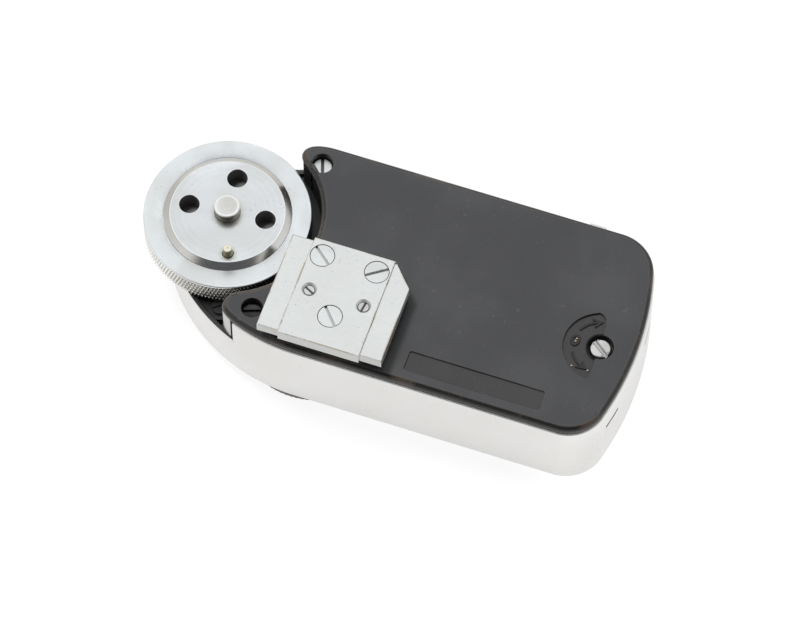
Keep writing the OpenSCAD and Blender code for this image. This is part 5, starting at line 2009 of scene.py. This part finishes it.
@dataclass(frozen=True)
class Stage:
    """Pale floor, soft light and the photograph's camera, in metres about the model's origin."""

    azimuth: float = 18.896
    elevation: float = 61.881
    target: tuple = (2.663e-3, -3.44395e-3, 10.3e-3)
    distance: float = 0.716536
    lens: float = 225.0
    floor_half: float = 3.0
    lamp_at: tuple = (-0.27, 0.09, 0.69)
    lamp_size: float = 0.16
    lamp_power: float = 5.0
    dark_way: tuple = (0.22, -0.64, 0.735)

    def camera(self) -> None:
        """A long lens at the photograph's angle."""
        az, el = math.radians(self.azimuth), math.radians(self.elevation)
        back = Vector((math.sin(az) * math.cos(el), -math.cos(az) * math.cos(el), math.sin(el)))
        data = bpy.data.cameras.new("camera")
        data.lens = self.lens
        data.sensor_width = 36.0
        data.clip_start = 0.01
        data.clip_end = 20.0
        eye = bpy.data.objects.new("camera", data)
        eye.location = Vector(self.target) + self.distance * back
        eye.rotation_euler = back.to_track_quat("Z", "Y").to_euler()
        bpy.context.scene.collection.objects.link(eye)
        bpy.context.scene.camera = eye

    def floor(self) -> None:
        """A white floor that keeps the object's shadow, with painted light past the end wall that lifts the
        shadow there and the wall's reflection of it.
        """
        h = self.floor_half
        mesh = bpy.data.meshes.new("floor")
        mesh.from_pydata([(-h, -h, 0), (h, -h, 0), (h, h, 0), (-h, h, 0)], [], [(0, 1, 2, 3)])
        made = bpy.data.materials.new("pale_floor")
        made.use_nodes = True
        g = Graph(made.node_tree)
        g.tree.nodes.remove(g.tree.nodes["Principled BSDF"])
        path = g.add("LightPath").outputs
        eye = path["Is Camera Ray"]
        mirrored = g.math("MAXIMUM", eye, path["Is Glossy Ray"])
        seen = g.math("MAXIMUM", mirrored, path["Is Transmission Ray"])
        tone = g.mix(seen, (0.80, 0.80, 0.80), (0.16, 0.16, 0.16))
        matte = g.add("BsdfDiffuse", {"Color": g.mix(eye, tone, (0.10, 0.10, 0.10))})
        # Painted light: past the end wall the floor's glow rises, lifting the lamp's shadow and the wall's
        # reflection of it.
        painted_floor_light = g.total(0.84, (g.smooth(g.split(g.place())[0], 0.022, 0.038), 0.12))
        level = g.total(g.times(seen, painted_floor_light), (eye, 0.07))
        glow = g.add("Emission", {"Color": WHITE, "Strength": level})
        both = g.add("AddShader", {0: matte.outputs[0], 1: glow.outputs[0]})
        g.put(g.tree.nodes["Material Output"].inputs["Surface"], both.outputs[0])
        mesh.materials.append(made)
        plane = bpy.data.objects.new("floor", mesh)
        bpy.context.scene.collection.objects.link(plane)

    def sky(self) -> None:
        """Soft light all round, darker in one patch on the viewer's side; white where the camera sees it."""
        world = bpy.data.worlds.new("studio")
        bpy.context.scene.world = world
        world.use_nodes = True
        g = Graph(world.node_tree)
        way = g.add("TexCoord").outputs["Generated"]
        patch = g.add("VectorMath", {0: way, 1: self.dark_way}, operation="DOT_PRODUCT").outputs["Value"]
        tone = g.mix(g.smooth(g.split(way)[2], 0.0, 0.9), (0.66, 0.655, 0.65), (0.96, 0.98, 1.0))
        tone = g.mix(g.smooth(patch, 0.72, 0.87), tone, (0.11, 0.115, 0.125))
        path = g.add("LightPath").outputs
        tone = g.mix(path["Is Diffuse Ray"], tone, g.mix(0.4, (0.0, 0.0, 0.0), tone))
        tone = g.mix(path["Is Camera Ray"], tone, WHITE)
        g.put(g.tree.nodes["Background"].inputs["Color"], tone)

    def lamp(self) -> None:
        """A square soft lamp aimed at the object."""
        data = bpy.data.lights.new("key_lamp", "AREA")
        data.size = self.lamp_size
        data.energy = self.lamp_power
        made = bpy.data.objects.new("key_lamp", data)
        made.location = self.lamp_at
        aim = Vector(self.lamp_at) - Vector(self.target)
        made.rotation_euler = aim.to_track_quat("Z", "Y").to_euler()
        made.visible_glossy = False
        bpy.context.scene.collection.objects.link(made)

    def make(self) -> None:
        """Sets the stage."""
        self.camera()
        self.floor()
        self.sky()
        self.lamp()
        bpy.context.scene.view_settings.view_transform = "Standard"


def main() -> None:
    """Builds the meter in order and sets the stage."""
    logging.basicConfig(level=logging.INFO, format="%(message)s")
    Stage().make()
    for part in (Case(), BaseCover(), ShoeFoot(), CouplingDial(), Calculator(), NeedleWindow(), CellWindow()):
        part.make()
    dress_inner()


if __name__ == "__main__":
    main()
